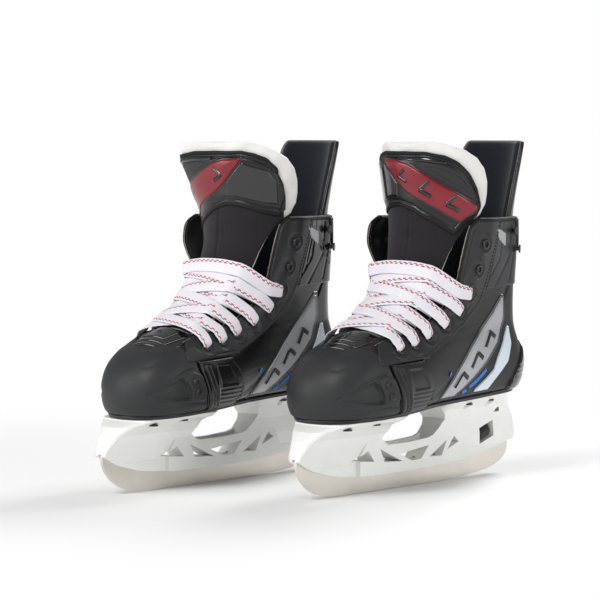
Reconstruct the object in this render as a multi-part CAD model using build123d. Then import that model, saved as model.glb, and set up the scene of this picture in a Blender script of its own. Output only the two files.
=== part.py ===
from build123d import *
import math
import os

# A pair of ice hockey skates. Each piece is modelled once, for the left skate, and mirrored for
# the right. Skate frame, millimetres: +X towards the outside of the left foot, -Y towards the
# toe, +Z up, z = 0 on the ice, y = 0 half way along the blade holder. The pair stands staggered.
# Outlines in the side view are lists of (y, z).

# ---- driving dimensions ----------------------------------------------------------------------
SPACING_X = 146.0          # between the two runners
STAGGER_Y = 82.0           # the left skate stands this far behind the right one
RUNNER_T = 3.0             # steel thickness
SLOT_HALF = 1.65           # half width of the holder's runner slot
SHELL_T = 3.2              # boot wall thickness
FLOOR_LIFT = 4.2           # inside floor above the wall's lowest ring
CAP_GAP = 0.6              # between toe cap and quarter shell
SOLE_T = 3.0               # outsole underside below the lowest ring of the boot
SEAT_GAP = 0.25            # holder top below the outsole
OVER_T = 1.6               # overlay thickness on the outside of the wall
OVER_BASE = 0.2            # overlays start this far off the wall
GUARD_BASE_T = 2.2         # tendon guard base outside the overlays
LINER_GAP = 0.25
LINER_T = 4.5
EYELET_R = 2.3             # hole radius
EYELET_OUT = 3.05          # barrel outer radius
EYELET_FLANGE = 4.4
DIAL_R = 7.3               # lock dial radius
DIAL_HALF = 6.6            # half its length
DIAL_GROOVES = 14
DIAL_Y, DIAL_Z = 102.0, 39.0
DIAL_TILT = 20.0           # the lock axis rises towards the heel
SHANK_R = 3.0              # hook bolt radius
TONGUE_SPLIT_Y, TONGUE_SPLIT_Z = 3.0, 205.0
TONGUE_SPLIT_HALF = 0.5    # half the gap between the two tongue pieces
MIN_VOLUME = 2.0           # smaller solids left by a boolean are dropped

TILT_COS = math.cos(math.radians(DIAL_TILT))
TILT_SIN = math.sin(math.radians(DIAL_TILT))

# ---- boot outline ----------------------------------------------------------------------------
LEVEL_Y0, LEVEL_Y1 = -128.0, 138.0    # where the first two columns of LAST are measured
TOE_POWER, HEEL_POWER = 2.35, 2.25    # superellipse exponents of the two ends

# z at LEVEL_Y0, z at LEVEL_Y1, front y, rear y, ball half width, ball y,
# waist half width, waist y, heel half width, heel y
LAST = [
    (66.0, 80.5, -119.0, 130.0, 40.0, -62, 30.0, 8, 30.0, 98),
    (70.0, 84.0, -125.0, 134.0, 46.0, -62, 34.5, 8, 33.5, 99),
    (79.0, 92.5, -128.2, 137.0, 49.0, -62, 38.5, 8, 36.0, 100),
    (90.0, 103.0, -128.5, 138.2, 49.5, -62, 41.5, 8, 37.0, 101),
    (101.0, 114.0, -125.0, 136.0, 47.8, -60, 43.0, 8, 37.0, 99),
    (110.0, 123.0, -117.0, 132.0, 44.5, -58, 43.6, 8, 36.5, 97),
    (117.5, 131.0, -104.0, 128.0, 39.8, -52, 43.9, 8, 36.0, 95),
    (125.0, 139.5, -83.0, 125.5, 35.0, -44, 43.6, 8, 35.6, 93),
    (137.5, 150.0, -62.0, 124.0, 32.5, -32, 43.2, 12, 36.0, 92),
    (152.0, 163.0, -45.0, 123.2, 35.5, -10, 43.4, 20, 36.5, 92),
    (169.0, 179.0, -32.0, 123.4, 40.0, 5, 45.2, 32, 37.2, 92),
    (188.0, 196.0, -22.0, 124.0, 43.5, 15, 47.6, 42, 38.0, 93),
    (209.0, 212.0, -14.0, 124.0, 46.2, 20, 50.0, 50, 38.6, 93),
    (232.5, 229.5, -8.0, 123.2, 48.0, 24, 51.6, 54, 38.8, 93),
]


def centre_shift(y):
    """Sideways bend of the forefoot, towards the inside of the foot."""
    return -5.0 * ((-y - 40.0) / 90.0) ** 2 if y < -40.0 else 0.0


def outline(row, offset):
    """Closed ring of points for one level of the boot, moved outwards by offset."""
    z_front, z_rear, front, rear, ball, ball_y, waist, waist_y, heel, heel_y = row
    front, rear = front - offset, rear + offset
    ball, waist, heel = ball + offset, waist + offset, heel + offset
    side = []
    for degrees in (24, 45, 66):
        t = math.radians(degrees)
        side.append((ball * math.sin(t) ** (2 / TOE_POWER),
                     ball_y - (ball_y - front) * math.cos(t) ** (2 / TOE_POWER)))
    side.append((ball, ball_y))
    side.append((0.5 * (ball + waist) + 0.12 * (ball - waist), 0.5 * (ball_y + waist_y)))
    side.append((waist, waist_y))
    side.append((0.5 * (waist + heel) + 0.4, 0.5 * (waist_y + heel_y)))
    side.append((heel, heel_y))
    for degrees in (66, 45, 24):
        t = math.radians(degrees)
        side.append((heel * math.sin(t) ** (2 / HEEL_POWER),
                     heel_y + (rear - heel_y) * math.cos(t) ** (2 / HEEL_POWER)))
    ring = [(0.0, front)] + side + [(0.0, rear)] + [(-x, y) for x, y in reversed(side)]
    slope = (z_rear - z_front) / (LEVEL_Y1 - LEVEL_Y0)
    return [(x + centre_shift(y), y, z_front + slope * (y - LEVEL_Y0)) for x, y in ring]


def smooth_ring(points):
    """Closed Catmull-Rom ring with one point added half way along each span."""
    count, ring = len(points), []
    for i in range(count):
        spans = (points[(i + k) % count] for k in (-1, 0, 1, 2))
        coords = list(zip(*spans))
        for t in (0, 0.5):
            ring.append(tuple(
                0.5 * (2 * b + (c - a) * t + (2 * a - 5 * b + 4 * c - d) * t * t
                       + (3 * b - a - 3 * c + d) * t ** 3)
                for a, b, c, d in coords))
    return ring


def smooth_rows(rows, extra):
    """Rows with a Catmull-Rom row added after each index in extra."""
    result = []
    for i, row in enumerate(rows):
        result.append(row)
        if i in extra and i + 1 < len(rows):
            before, after = rows[max(i - 1, 0)], rows[min(i + 2, len(rows) - 1)]
            result.append(tuple(0.5 * (b + c) + 0.0625 * (b + c - a - d)
                                for a, b, c, d in zip(before, row, rows[i + 1], after)))
    return result


# ---- solid builders --------------------------------------------------------------------------
def polygon(*points):
    return Face(Wire.make_polygon(points, close=True))


def strips(rings):
    """Triangles between successive closed rings, split along the shorter diagonal."""
    faces = []
    for low, high in zip(rings, rings[1:]):
        for i in range(len(low)):
            j = (i + 1) % len(low)
            a, b, c, d = low[i], low[j], high[j], high[i]
            if (a - c).length < (b - d).length:
                faces += [polygon(a, b, c), polygon(a, c, d)]
            else:
                faces += [polygon(a, b, d), polygon(b, c, d)]
    return faces


def tube(rings):
    """Closed solid through rings of points, flat ends."""
    rings = [[Vector(*p) for p in ring] for ring in rings]
    return Solid(Shell(strips(rings) + [polygon(*rings[0]), polygon(*rings[-1])]))


def side_prism(points, x0=-80.0, x1=80.0):
    """Solid between two x planes with the given (y, z) outline."""
    return Solid.extrude(polygon(*[Vector(x0, y, z) for y, z in points]), Vector(x1 - x0, 0, 0))


def cylinder(radius, height, origin, direction=(0, 0, 1)):
    return Solid.make_cylinder(radius, height, Plane(origin=origin, z_dir=direction))


def one(shape):
    """The shape's solids as one solid or compound, slivers dropped."""
    solids = [s for s in shape.solids() if s.volume > MIN_VOLUME]
    return solids[0] if len(solids) == 1 else Compound(children=solids)


def cut(body, *tools):
    for tool in tools:
        body = body - tool
    return one(body)


def cut_each(body, tools):
    """Cut one tool at a time, dropping slivers after each."""
    for tool in tools:
        body = cut(body, tool)
    return body


BOOT_ROWS = smooth_rows(LAST, (4, 5, 6, 7))


def boot_rings(offset, first=0, lift=0.0):
    """Rings of the boot from row first up, the lowest one raised by lift."""
    return [[Vector(x, y, z + (lift if i == 0 else 0.0))
             for x, y, z in smooth_ring(outline(row, offset))]
            for i, row in enumerate(BOOT_ROWS[first:])]


def cup(offset):
    """Boot wall with a floor, open at the collar."""
    outer = boot_rings(offset)
    inner = boot_rings(-SHELL_T, lift=FLOOR_LIFT)
    return Solid(Shell(strips(outer) + strips(inner) + strips([outer[-1], inner[-1]])
                       + [polygon(*outer[0]), polygon(*inner[0])]))


def sleeve(outer_offset, inner_offset, first=0):
    """Boot wall without a floor."""
    outer, inner = boot_rings(outer_offset, first), boot_rings(inner_offset, first)
    return Solid(Shell(strips(outer) + strips(inner) + strips([outer[-1], inner[-1]])
                       + strips([outer[0], inner[0]])))


def surface_point(body, side, y, z):
    """Outermost point of body on the given side (+1 or -1) at y, z, and its outward normal."""
    hits = body.find_intersection_points(Axis((side * 150.0, y, z), (-side, 0, 0)))
    point, normal = max(hits, key=lambda hit: side * hit[0].X)
    if normal.X * side < 0:
        normal = normal * -1
    return point, normal.normalized()


def lock_point(along, across):
    """(y, z) of a point given along and across the lock axis."""
    return (DIAL_Y + along * TILT_COS - across * TILT_SIN,
            DIAL_Z + along * TILT_SIN + across * TILT_COS)


def lock_outline(*points):
    return [lock_point(along, across) for along, across in points]


def lock_cylinder(radius, start, end):
    return cylinder(radius, end - start, (0, *lock_point(start, 0.0)), (0, TILT_COS, TILT_SIN))


over_body = tube(boot_rings(OVER_T))
overlay = sleeve(OVER_T, OVER_BASE)

# ---- eyelets ---------------------------------------------------------------------------------
# y, z, from the toe end up
EYELETS = [(-54.0, 122.5), (-35.0, 125.5), (-16.0, 131.5), (2.5, 140.5),
           (20.5, 151.5), (33.5, 167.0), (41.0, 188.0), (46.5, 209.5)]
eyelet_spots = [surface_point(over_body, side, y, z) for side in (1, -1) for y, z in EYELETS]


def make_eyelet(point, normal):
    """Barrel through the wall with a flange at each end."""
    base = point + normal * 0.3
    depth = SHELL_T + OVER_T + 1.7
    eyelet = cylinder(EYELET_FLANGE, 0.8, base, normal)
    eyelet = eyelet + cylinder(EYELET_OUT, depth, base - normal * (depth - 0.2), normal)
    eyelet = eyelet + cylinder(EYELET_FLANGE - 0.3, 0.7, base - normal * (depth + 0.3), normal)
    eyelet = eyelet - cylinder(EYELET_R, depth + 10, base - normal * (depth + 5), normal)
    return eyelet.solids()[0]


eyelets = [make_eyelet(p, n) for p, n in eyelet_spots]
eyelet_holes = [cylinder(EYELET_OUT + 0.12, 9.5, p - n * 7.0, n) for p, n in eyelet_spots]

# ---- tendon guard rivets ---------------------------------------------------------------------
GUARD_RIVETS = [(101.0, 219.0), (109.0, 203.0)]    # y, z
guard_rivets = []
guard_bores = []
guard_body = tube(boot_rings(OVER_T + GUARD_BASE_T))
for side in (1, -1):
    for y, z in GUARD_RIVETS:
        point, normal = surface_point(guard_body, side, y, z)
        base = point + normal * 0.15
        rivet = (cylinder(3.6, 1.2, base, normal)
                 + cylinder(1.9, 6.4, base - normal * 6.2, normal))
        guard_rivets.append(rivet.solids()[0])
        guard_bores.append(cylinder(2.0, 9.0, base - normal * 8.0, normal))


# ---- sole rivets, through holder, outsole, wall and midsole board ----------------------------
SOLE_RIVETS = [(24.0, -103.0), (25.0, -68.0), (22.5, -36.5),
               (20.0, 62.0), (20.0, 92.0), (11.0, 110.0)]    # x on either side, y


def sole_z(y):
    """Height of the outsole's underside."""
    z_front, z_rear = LAST[0][:2]
    return z_front + (z_rear - z_front) / (LEVEL_Y1 - LEVEL_Y0) * (y - LEVEL_Y0) - SOLE_T


def sole_cylinders(radius, height, lift):
    """Upright cylinders at all sole rivets, starting lift above the outsole's underside."""
    return [cylinder(radius, height, (side * x, y, sole_z(y) + lift))
            for x, y in SOLE_RIVETS for side in (1, -1)]


sole_rivets = [(shank + foot + top).solids()[0] for shank, foot, top in zip(
    sole_cylinders(2.0, 13.9, -6.0), sole_cylinders(3.9, 1.3, -6.3),
    sole_cylinders(3.6, 0.9, 7.7))]
long_bores = sole_cylinders(2.15, 30.0, -12.0)
short_bores = sole_cylinders(2.15, 14.0, -5.5)
head_sinks = sole_cylinders(4.3, 14.0, -18.95)
top_reliefs = sole_cylinders(4.2, 12.0, 6.75)

# ---- boot shells -----------------------------------------------------------------------------
# front edge of the quarter's opening, y, z from the toe end to the collar
THROAT = [(-77, 121.5), (-70, 127.5), (-60, 131), (-45, 133.5), (-27, 138.5), (-9, 146),
          (6, 156), (17.5, 169), (24.5, 187), (29, 200), (34, 214), (39, 225), (46, 231)]
# rear edge of the toe cap, upwards
CAP_EDGE = [(-57.5, 60), (-57.5, 66), (-63.5, 85), (-70.5, 103), (-72.5, 115),
            (-76.5, 121), (-77.5, 128), (-78, 150)]


def make_quarter():
    area = side_prism([(y + CAP_GAP, z) for y, z in CAP_EDGE[:5]] + [(-76, 121)] + THROAT[1:]
                      + [(52, 231.6), (70, 230.5), (84, 227), (150, 226), (150, 60)])
    quarter = cut(one(cup(0.0) & area), *eyelet_holes)
    return cut_each(cut_each(quarter, guard_bores), short_bores)


def make_toe_cap():
    area = side_prism([(-150, 60)] + CAP_EDGE + [(-150, 150)])
    return cut_each(one(cup(OVER_T) & area), short_bores)


def make_outsole():
    """Thin plate following the sole, under wall and cap."""
    ring = smooth_ring(outline(LAST[0], 0.6))
    plate = tube([[(x, y, z - drop) for x, y, z in ring] for drop in (SOLE_T, 0.15)])
    return cut(plate, *long_bores)


# ---- overlays on the outside of the wall -----------------------------------------------------
BUMPER = [(-69, 103), (-62, 85), (-56, 67), (-53, 60), (-32, 60), (-27, 68), (-17, 76),
          (-11, 83), (-15, 94), (-28, 111.8), (-68, 115.8), (-70.5, 113)]
# lower edge, rear edge and collar, then back down just inside the throat
FACING = ([(-68.3, 117.2), (-28, 113), (3, 127.5), (31, 143.5), (49, 156.5),
           (58, 174), (65.5, 205), (72.5, 231), (52, 231), (46.6, 230.6)]
          + [(y + 0.3, z - 0.3) for y, z in reversed(THROAT[2:-1])]
          + [(-69.7, 127.0), (-75.0, 121.6), (-72.2, 117.6)])
HEEL_COUNTER = [(101, 60), (150, 60), (150, 131), (131, 126), (121, 112), (112, 98), (104, 87)]
HEEL_BAND = [(60, 70), (99.5, 70), (103, 88), (111, 99), (120, 113), (126.5, 127), (150, 134),
             (150, 146), (121, 141), (112, 124), (103, 111), (88, 100), (72, 90), (60, 83)]
ANKLE = [(59, 173.4), (51.5, 160), (70, 172), (90, 186), (150, 196), (150, 224.8),
         (85, 225.6), (73.6, 229), (66.5, 204)]
GUARD_BASE = [(99, 200), (107, 191), (150, 191), (150, 226.6), (92, 226.6), (92, 216)]


def overlay_piece(points):
    return one(overlay & side_prism(points))


def make_facing(x0, x1, holes):
    half = side_prism([(-200, 0), (200, 0), (200, 300), (-200, 300)], x0, x1)
    return cut(one((overlay & side_prism(FACING)) & half), *holes)


def make_guard_base():
    base = one(sleeve(OVER_T + GUARD_BASE_T, OVER_T + 0.25) & side_prism(GUARD_BASE))
    return cut_each(base, guard_bores)


# ---- lining, boards and footbed --------------------------------------------------------------
LINER = [(46, 91), (150, 96.5), (150, 222), (86, 222), (72, 226), (68, 204), (58, 178),
         (46, 158), (24, 141), (6, 130), (-8, 120), (-8, 89)]
BOARD_ROW = LAST[0][:2] + (-116, 128, 40, -60, 31, 8, 30, 95)    # columns as in LAST


def make_liner():
    outer = -SHELL_T - LINER_GAP
    return one(sleeve(outer, outer - LINER_T, first=1) & side_prism(LINER))


def board(offset, bottom, top):
    """Plate inside the boot, between two heights above the lowest ring."""
    ring = smooth_ring(outline(BOARD_ROW, offset))
    return tube([[(x, y, z + lift) for x, y, z in ring] for lift in (bottom, top)])


def make_midsole():
    midsole = board(-5.0, 4.5, 6.5)
    for bore, relief in zip(long_bores, top_reliefs):
        midsole = midsole - bore - relief
    return one(midsole)


# ---- vamp tab between the facings ------------------------------------------------------------
VAMP = [(-87.5, 127.6, 20.0), (-80, 131.0, 24.0), (-70, 136.0, 23.0), (-60, 142.0, 20.0)]
VAMP_T = 1.8
VAMP_CURVE = 0.0100        # drop per x squared


def make_vamp_tab():
    rings = []
    for y, z, half in VAMP:    # half: half width
        xs = [half * k / 5 for k in range(-5, 6)]
        rings.append([(x, y, z - VAMP_CURVE * x * x) for x in xs]
                     + [(x, y, z - VAMP_T - VAMP_CURVE * x * x) for x in reversed(xs)])
    return one(tube(rings) - over_body)


# ---- tongue ----------------------------------------------------------------------------------
# front point y, z, lean of the run from horizontal, arc radius, half width, thickness
TONGUE = [
    (-58.0, 138.5, 27.0, 42.0, 22.0, 5.0),
    (-40.0, 149.0, 33.0, 40.0, 24.0, 6.0),
    (-22.0, 163.0, 42.0, 40.0, 28.0, 7.0),
    (-9.0, 179.0, 56.0, 41.0, 32.0, 7.5),
    (-1.0, 195.0, 70.0, 43.0, 36.0, 8.0),
    (3.0, 212.0, 82.0, 46.0, 39.0, 8.0),
    (4.0, 235.0, 88.0, 50.0, 54.0, 8.0),
    (3.8, 248.0, 90.0, 52.0, 70.0, 8.0),
    (3.0, 262.0, 92.0, 54.0, 74.0, 8.0),
    (1.0, 276.0, 95.3, 56.0, 68.0, 7.8),
    (0.0, 284.0, 97.0, 57.0, 58.0, 7.5),
    (-1.2, 292.0, 98.2, 57.6, 44.0, 6.5),
    (-2.0, 297.0, 99.0, 58.0, 30.0, 6.0),
]
# same columns, for the plate on the tongue's front face
PLATE = [
    (4.0, 232.0, 88.0, 50.0, 42.0, 8.0),
    (3.8, 248.0, 90.0, 52.0, 58.0, 8.0),
    (3.0, 262.0, 92.0, 54.0, 62.0, 8.0),
    (1.0, 276.0, 95.3, 56.0, 54.0, 7.8),
    (-0.3, 286.0, 97.4, 57.2, 36.0, 6.5),
]
# x, z of the diagonal band that the badge keeps
BADGE = [(-25, 282), (3, 278), (49, 246), (60, 236), (60, 224), (46, 228), (2, 253), (-7, 261)]


def on_arc(y, z, lean, radius, arc_radius, angle):
    """Point at arc_radius and angle about the centre lying radius behind the front point."""
    lean = math.radians(lean)
    depth = radius - arc_radius * math.cos(angle)
    return (arc_radius * math.sin(angle), y + math.sin(lean) * depth, z - math.cos(lean) * depth)


def tongue_ring(row, raised=0.0, thickness=None, narrow=0.0):
    """Section of the tongue; raised moves its front face outwards, narrow trims each side."""
    y, z, lean, radius, half, row_thickness = row
    thickness = row_thickness if thickness is None else thickness
    limit = (half - narrow) / radius
    outer, inner = radius + raised, radius + raised - thickness
    steps = [k / 6 for k in range(-6, 7)]
    return ([on_arc(y, z, lean, radius, outer, limit * k) for k in steps]
            + [on_arc(y, z, lean, radius, inner, limit * k) for k in reversed(steps)])


def make_tongue():
    """Lower and upper tongue pieces."""
    full = tube([tongue_ring(row) for row in smooth_rows(TONGUE, range(11))])
    low_z, high_z = TONGUE_SPLIT_Z - TONGUE_SPLIT_HALF, TONGUE_SPLIT_Z + TONGUE_SPLIT_HALF
    end_y = TONGUE_SPLIT_Y + 140
    below = side_prism([(-120, 60), (150, 60), (150, low_z), (-120, low_z)])
    above = side_prism([(-120, high_z), (TONGUE_SPLIT_Y, high_z), (end_y, high_z),
                        (end_y, 330), (-120, 330)])
    return one(full & below), one(full & above)


def tongue_plate(raised, thickness, narrow=0.0):
    return tube([tongue_ring(row, raised, thickness, narrow)
                 for row in smooth_rows(PLATE, range(4))])


def make_badge():
    band = Solid.extrude(polygon(*[Vector(x, -60, z) for x, z in BADGE]), Vector(0, 160, 0))
    return one(tongue_plate(raised=4.3, thickness=1.5, narrow=2.5) & band)


# ---- tendon guard ----------------------------------------------------------------------------
# z, rear y, radius, half angle of the arc in degrees
GUARD = [(230.2, 124.6, 38.5, 74.0), (245.0, 127.0, 38.8, 70.0), (262.0, 131.0, 39.2, 66.0),
         (280.0, 135.8, 39.6, 60.0), (297.5, 139.8, 40.0, 46.0)]


def guard_ring(row, raised, thickness, trim):
    z, rear_y, radius, half_angle = row
    outer, inner = radius + raised, radius + raised - thickness
    limit = math.radians(half_angle) - trim / radius
    centre_y = rear_y - radius
    steps = [k / 7 for k in range(-7, 8)]

    def arc(r, ks):
        return [(r * math.sin(limit * k), centre_y + r * math.cos(limit * k), z) for k in ks]

    return arc(outer, steps) + arc(inner, list(reversed(steps)))


def guard_layer(raised, thickness, trim=0.0):
    return tube([guard_ring(row, raised, thickness, trim)
                 for row in smooth_rows(GUARD, range(4))])


# ---- lace: one flat strap across the tongue at each laced row, ends over the facings ---------
LACE_ROWS = [0.15, 1.15, 2.0, 2.8, 3.45, 4.06]    # fractional row of TONGUE, one per eyelet pair
LACE_HALF_W, LACE_HALF_T = 4, 0.5
LACE_STEPS = 20


def tongue_point(position, x, lift):
    """Point lifted off the tongue's front at a fractional row, and the lengthwise direction."""
    i = min(int(position), len(TONGUE) - 2)
    t = position - i
    y, z, lean, radius = (TONGUE[i][k] * (1 - t) + TONGUE[i + 1][k] * t for k in range(4))
    point = Vector(*on_arc(y, z, lean, radius, radius + lift, x / radius))
    return point, Vector(0, math.cos(math.radians(lean)), math.sin(math.radians(lean)))


def throat_near(y, z):
    """Nearest point of the throat edge in the side view."""
    nearest = []
    for (y0, z0), (y1, z1) in zip(THROAT, THROAT[1:]):
        length2 = (y1 - y0) ** 2 + (z1 - z0) ** 2
        t = min(1.0, max(0.0, ((y - y0) * (y1 - y0) + (z - z0) * (z1 - z0)) / length2))
        nearest.append((y0 + t * (y1 - y0), z0 + t * (z1 - z0)))
    return min(nearest, key=lambda p: math.hypot(y - p[0], z - p[1]))


def make_strap(point, normal, position):
    edge_y, edge_z = throat_near(point.Y, point.Z)
    to_edge = Vector(0, edge_y - point.Y, edge_z - point.Z).normalized()
    edge_x = surface_point(over_body, 1, edge_y, edge_z)[0].X
    end = point + normal * 2.9 + to_edge * 2.0
    over_edge = Vector(edge_x + 2.2, edge_y, edge_z) + to_edge * 2.4
    middle, along = tongue_point(position, 0.0, 2.6)
    shoulder, _ = tongue_point(position, 0.55 * TONGUE[int(position)][4], 3.2)
    half = [end, over_edge, shoulder]
    path = Edge.make_spline(half + [middle] + [Vector(-v.X, v.Y, v.Z) for v in reversed(half)])
    rings = []
    for k in range(LACE_STEPS + 1):
        centre, tangent = path.position_at(k / LACE_STEPS), path.tangent_at(k / LACE_STEPS)
        across = (along - tangent * along.dot(tangent)).normalized()
        up = tangent.cross(across).normalized()
        rings.append([centre + across * (LACE_HALF_W * u) + up * (LACE_HALF_T * v)
                      for u, v in ((-1, -1), (1, -1), (1, 1), (-1, 1))])
    return tube(rings)


# ---- blade holder ----------------------------------------------------------------------------
SLAB_TIP = 0.55            # length of a slab's rounded end over its half width
# slabs from the bottom up: front y, rear y, half width, z at the front, slope if not level
FRONT_TOWER = [(-146, -24, 3.9, 12), (-145, -26, 4.4, 24), (-143, -30, 7.4, 38),
               (-137.5, -34, 12.0, 50), (-130.5, -33, 19.5, 57.5), (-120.5, -25, 30.0, 62.2),
               (-118.5, -21, 32.0, 65.4)]
REAR_TOWER = [(12, 146, 3.9, 12), (14, 145.5, 4.4, 24), (20, 144.5, 8.6, 38),
              (28, 139.5, 11.0, 52), (31, 129, 16.5, 64), (30, 121.5, 25.5, 71, 0.03),
              (29, 120.0, 27.5, 73.6, 0.045)]
FRONT_POCKET = [(-119, -56, 6.0, 44.5), (-118, -50, 9.5, 52), (-108, -44, 20.0, 62.0),
                (-106, -42, 21.5, 72.0)]
REAR_POCKET = [(48, 120, 6.5, 56), (46, 116, 11.0, 64), (44, 102.5, 18.0, 72.0),
               (44, 102.5, 18.0, 84.0)]
# side outline of the whole holder, starting at the toe end
HOLDER = [
    (-144.0, 34.5), (-134, 28.5), (-125, 24.6), (-105, 19.0), (-85, 16.2), (-64, 15.0),
    (-30, 14.6), (0, 14.8), (42, 16.2), (86, 19.2), (115, 23.6), (134, 27.6), (143.5, 30.2),
    (144.2, 34.0), (139.5, 46), (133.0, 60), (127.5, 70), (126.5, 80), (28, 80), (28.5, 71),
    (33, 66), (38.8, 56), (34.5, 49.5), (27, 43.0), (20, 41.0), (-6, 39.4), (-34, 39.4),
    (-43.5, 45.6), (-37, 54.5), (-20.5, 60.0), (-20.5, 66), (-136, 66), (-138.5, 52)]
# openings through the bridge between the towers
TRUSS_WINDOWS = [
    [(-77, 28.5), (-60, 36.5), (-51.5, 26.5)],
    [(-44, 36.5), (-38.5, 25.0), (-15, 23.6)],
    [(-19, 30.0), (21, 34.5), (10.5, 23.4), (-1.5, 22.9)],
    [(21.5, 24.2), (45.5, 37.0), (38.5, 23.6)],
    [(46.2, 28.4), (55.4, 39.8), (62, 34.2)],
]
# slot for the runner, with room for its front hook and its post
SLOT = ([(-150, 0), (-150, 36.0), (-127.0, 34.4), (-127.0, 39.3), (-134.6, 39.3),
         (-134.6, 44.8), (-120.6, 44.8), (-120.6, 31.6), (-111, 28.8), (-95, 25.8),
         (-60, 24.8), (56, 24.8)]
        + lock_outline((-44.6, 1.2), (-44.6, 8.6), (-9, 8.6), (-9, -2.0), (-19.6, -2.0))
        + [(101, 29.4), (128, 33.4), (150, 34.6), (150, 0)])
DIAL_WINDOW = lock_outline((-9.2, -7.9), (9.2, -7.9), (9.6, 7.0), (8.4, 7.9), (-9.2, 7.9))


def slab(y0, y1, half, z, slope=0.0):
    """Rounded plan section of a tower, from y0 to y1."""
    front, rear = y0 + SLAB_TIP * half, y1 - SLAB_TIP * half
    side = [(0.62 * half, y0 + 0.16 * SLAB_TIP * half),
            (half * 0.93, y0 + 0.6 * SLAB_TIP * half),
            (half, front + 0.3 * half), (half, y0 + 0.5 * (y1 - y0)), (half, rear - 0.3 * half),
            (half * 0.93, y1 - 0.6 * SLAB_TIP * half),
            (0.62 * half, y1 - 0.16 * SLAB_TIP * half)]
    ring = [(0, y0)] + side + [(0, y1)] + [(-x, y) for x, y in reversed(side)]
    return [(x, y, z + slope * (y - y0)) for x, y in smooth_ring(ring)]


def tower(rows):
    return tube([slab(*row) for row in rows])


def make_holder():
    rail = side_prism([(-70, 12), (70, 12), (70, 30), (60, 46), (-60, 46), (-70, 30)], -9.5, 9.5)
    lower = side_prism([(-145, 12), (145, 12), (145, 26.0), (-145, 26.0)], -5.2, 5.2)
    holder = (tower(FRONT_TOWER) + tower(REAR_TOWER) + rail + lower) & side_prism(HOLDER)
    # flat tops just below the outsole
    holder = holder - side_prism([(-160, sole_z(-160) - SEAT_GAP), (160, sole_z(160) - SEAT_GAP),
                                  (160, 110), (-160, 110)])
    # pockets inside the two towers, open at the top
    holder = holder - tower(FRONT_POCKET) - tower(REAR_POCKET)
    for window in TRUSS_WINDOWS:
        holder = holder - side_prism(window)
    # the bridge is an open channel seen from above
    holder = holder - side_prism([(-33, 36.8), (24, 36.8), (31, 50), (-40, 50)], -6.0, 6.0)
    holder = holder - side_prism(SLOT, -SLOT_HALF, SLOT_HALF)
    # dial window through both sides, and the shank's bores before and behind it
    holder = holder - side_prism(DIAL_WINDOW, -40, 40)
    holder = holder - lock_cylinder(SHANK_R + 0.35, -20.0, -9.0)
    holder = holder - lock_cylinder(SHANK_R + 0.35, 9.0, 15.5)
    for bore, sink in zip(short_bores, head_sinks):
        holder = holder - bore - sink
    return one(holder)


# ---- steel runner ----------------------------------------------------------------------------
# lower edge: front curve, straight from the end of one curve to the start of the other, rear
RUNNER_FRONT = [(-141.5, 30), (-139.6, 24), (-136, 18.0), (-131, 12.6), (-125, 8.2),
                (-117, 4.6), (-108, 2.2), (-96, 0.8), (-80, 0.2), (-66.0, 0.0)]
RUNNER_REAR = [(44.0, 0.0), (60, 0.4), (80, 1.4), (97, 2.9), (110, 4.6), (121, 7.0),
               (130, 10.4), (136.5, 14.6), (140, 20.0), (141.2, 26.5)]
# upper edge from the heel end: rear run, post at the lock, front run with its hook
RUNNER_TOP = ([(141.2, 33.0), (128, 32.0), (100, 27.5)]
              + lock_outline((-20.5, -8), (-20.5, 3.6), (-32.7, 3.6), (-32.7, 1.6),
                             (-29.53, -3.26), (-29.53, -6.2))
              + [(64, 22.2), (56, 24.0), (0, 24.0), (-60, 24.0), (-95, 25.0), (-112, 28.0),
                 (-121.5, 31.0), (-121.5, 43.5), (-133.5, 43.5), (-133.5, 40.2),
                 (-126.5, 40.2), (-126.5, 33.2), (-141.5, 34.8)])


def make_runner():
    front, rear, top = ([Vector(0, y, z) for y, z in points]
                        for points in (RUNNER_FRONT, RUNNER_REAR, RUNNER_TOP))
    edges = [Edge.make_spline(front, tangents=[Vector(0, 0.25, -1), Vector(0, 1, 0)]),
             Edge.make_line(front[-1], rear[0]),
             Edge.make_spline(rear, tangents=[Vector(0, 1, 0), Vector(0, 0.1, 1)])]
    corners = [rear[-1]] + top + [front[0]]
    edges += [Edge.make_line(start, end) for start, end in zip(corners, corners[1:])]
    blade = Solid.extrude(Face(Wire(edges)), Vector(RUNNER_T, 0, 0))
    return blade.moved(Location((-RUNNER_T / 2, 0, 0)))


# ---- lock: captive thumb dial on a hook bolt -------------------------------------------------
HOOK = lock_outline((-9.5, -2.9), (-9.5, 8.0), (-37, 8.0), (-37, -3.0), (-30.0, -3.0),
                    (-33, 1.6), (-33, 4.2), (-13, 4.2), (-13, -2.9))


def make_dial():
    dial = lock_cylinder(DIAL_R, -DIAL_HALF, DIAL_HALF) - lock_cylinder(SHANK_R + 0.06, -10, 10)
    start = Vector(0, *lock_point(-DIAL_HALF - 1, 0))
    for k in range(DIAL_GROOVES):
        angle = 2 * math.pi * k / DIAL_GROOVES
        radial = (Vector(0, -TILT_SIN, TILT_COS) * math.cos(angle)
                  + Vector(1, 0, 0) * math.sin(angle))
        dial = dial - cylinder(0.62, 2 * DIAL_HALF + 2, start + radial * (DIAL_R + 0.2),
                               (0, TILT_COS, TILT_SIN))
    return one(dial)


def make_washer(start):
    washer = (lock_cylinder(5.6, start, start + 1.0)
              - lock_cylinder(SHANK_R + 0.3, start - 1, start + 3))
    return washer.solids()[0]


# ---- all pieces of one skate -----------------------------------------------------------------
tongue_lower, tongue_upper = make_tongue()
straps = [make_strap(*spot, position) for spot, position in zip(eyelet_spots, LACE_ROWS)]
washers = [make_washer(-DIAL_HALF - 1.6), make_washer(DIAL_HALF + 0.6)]

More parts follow.
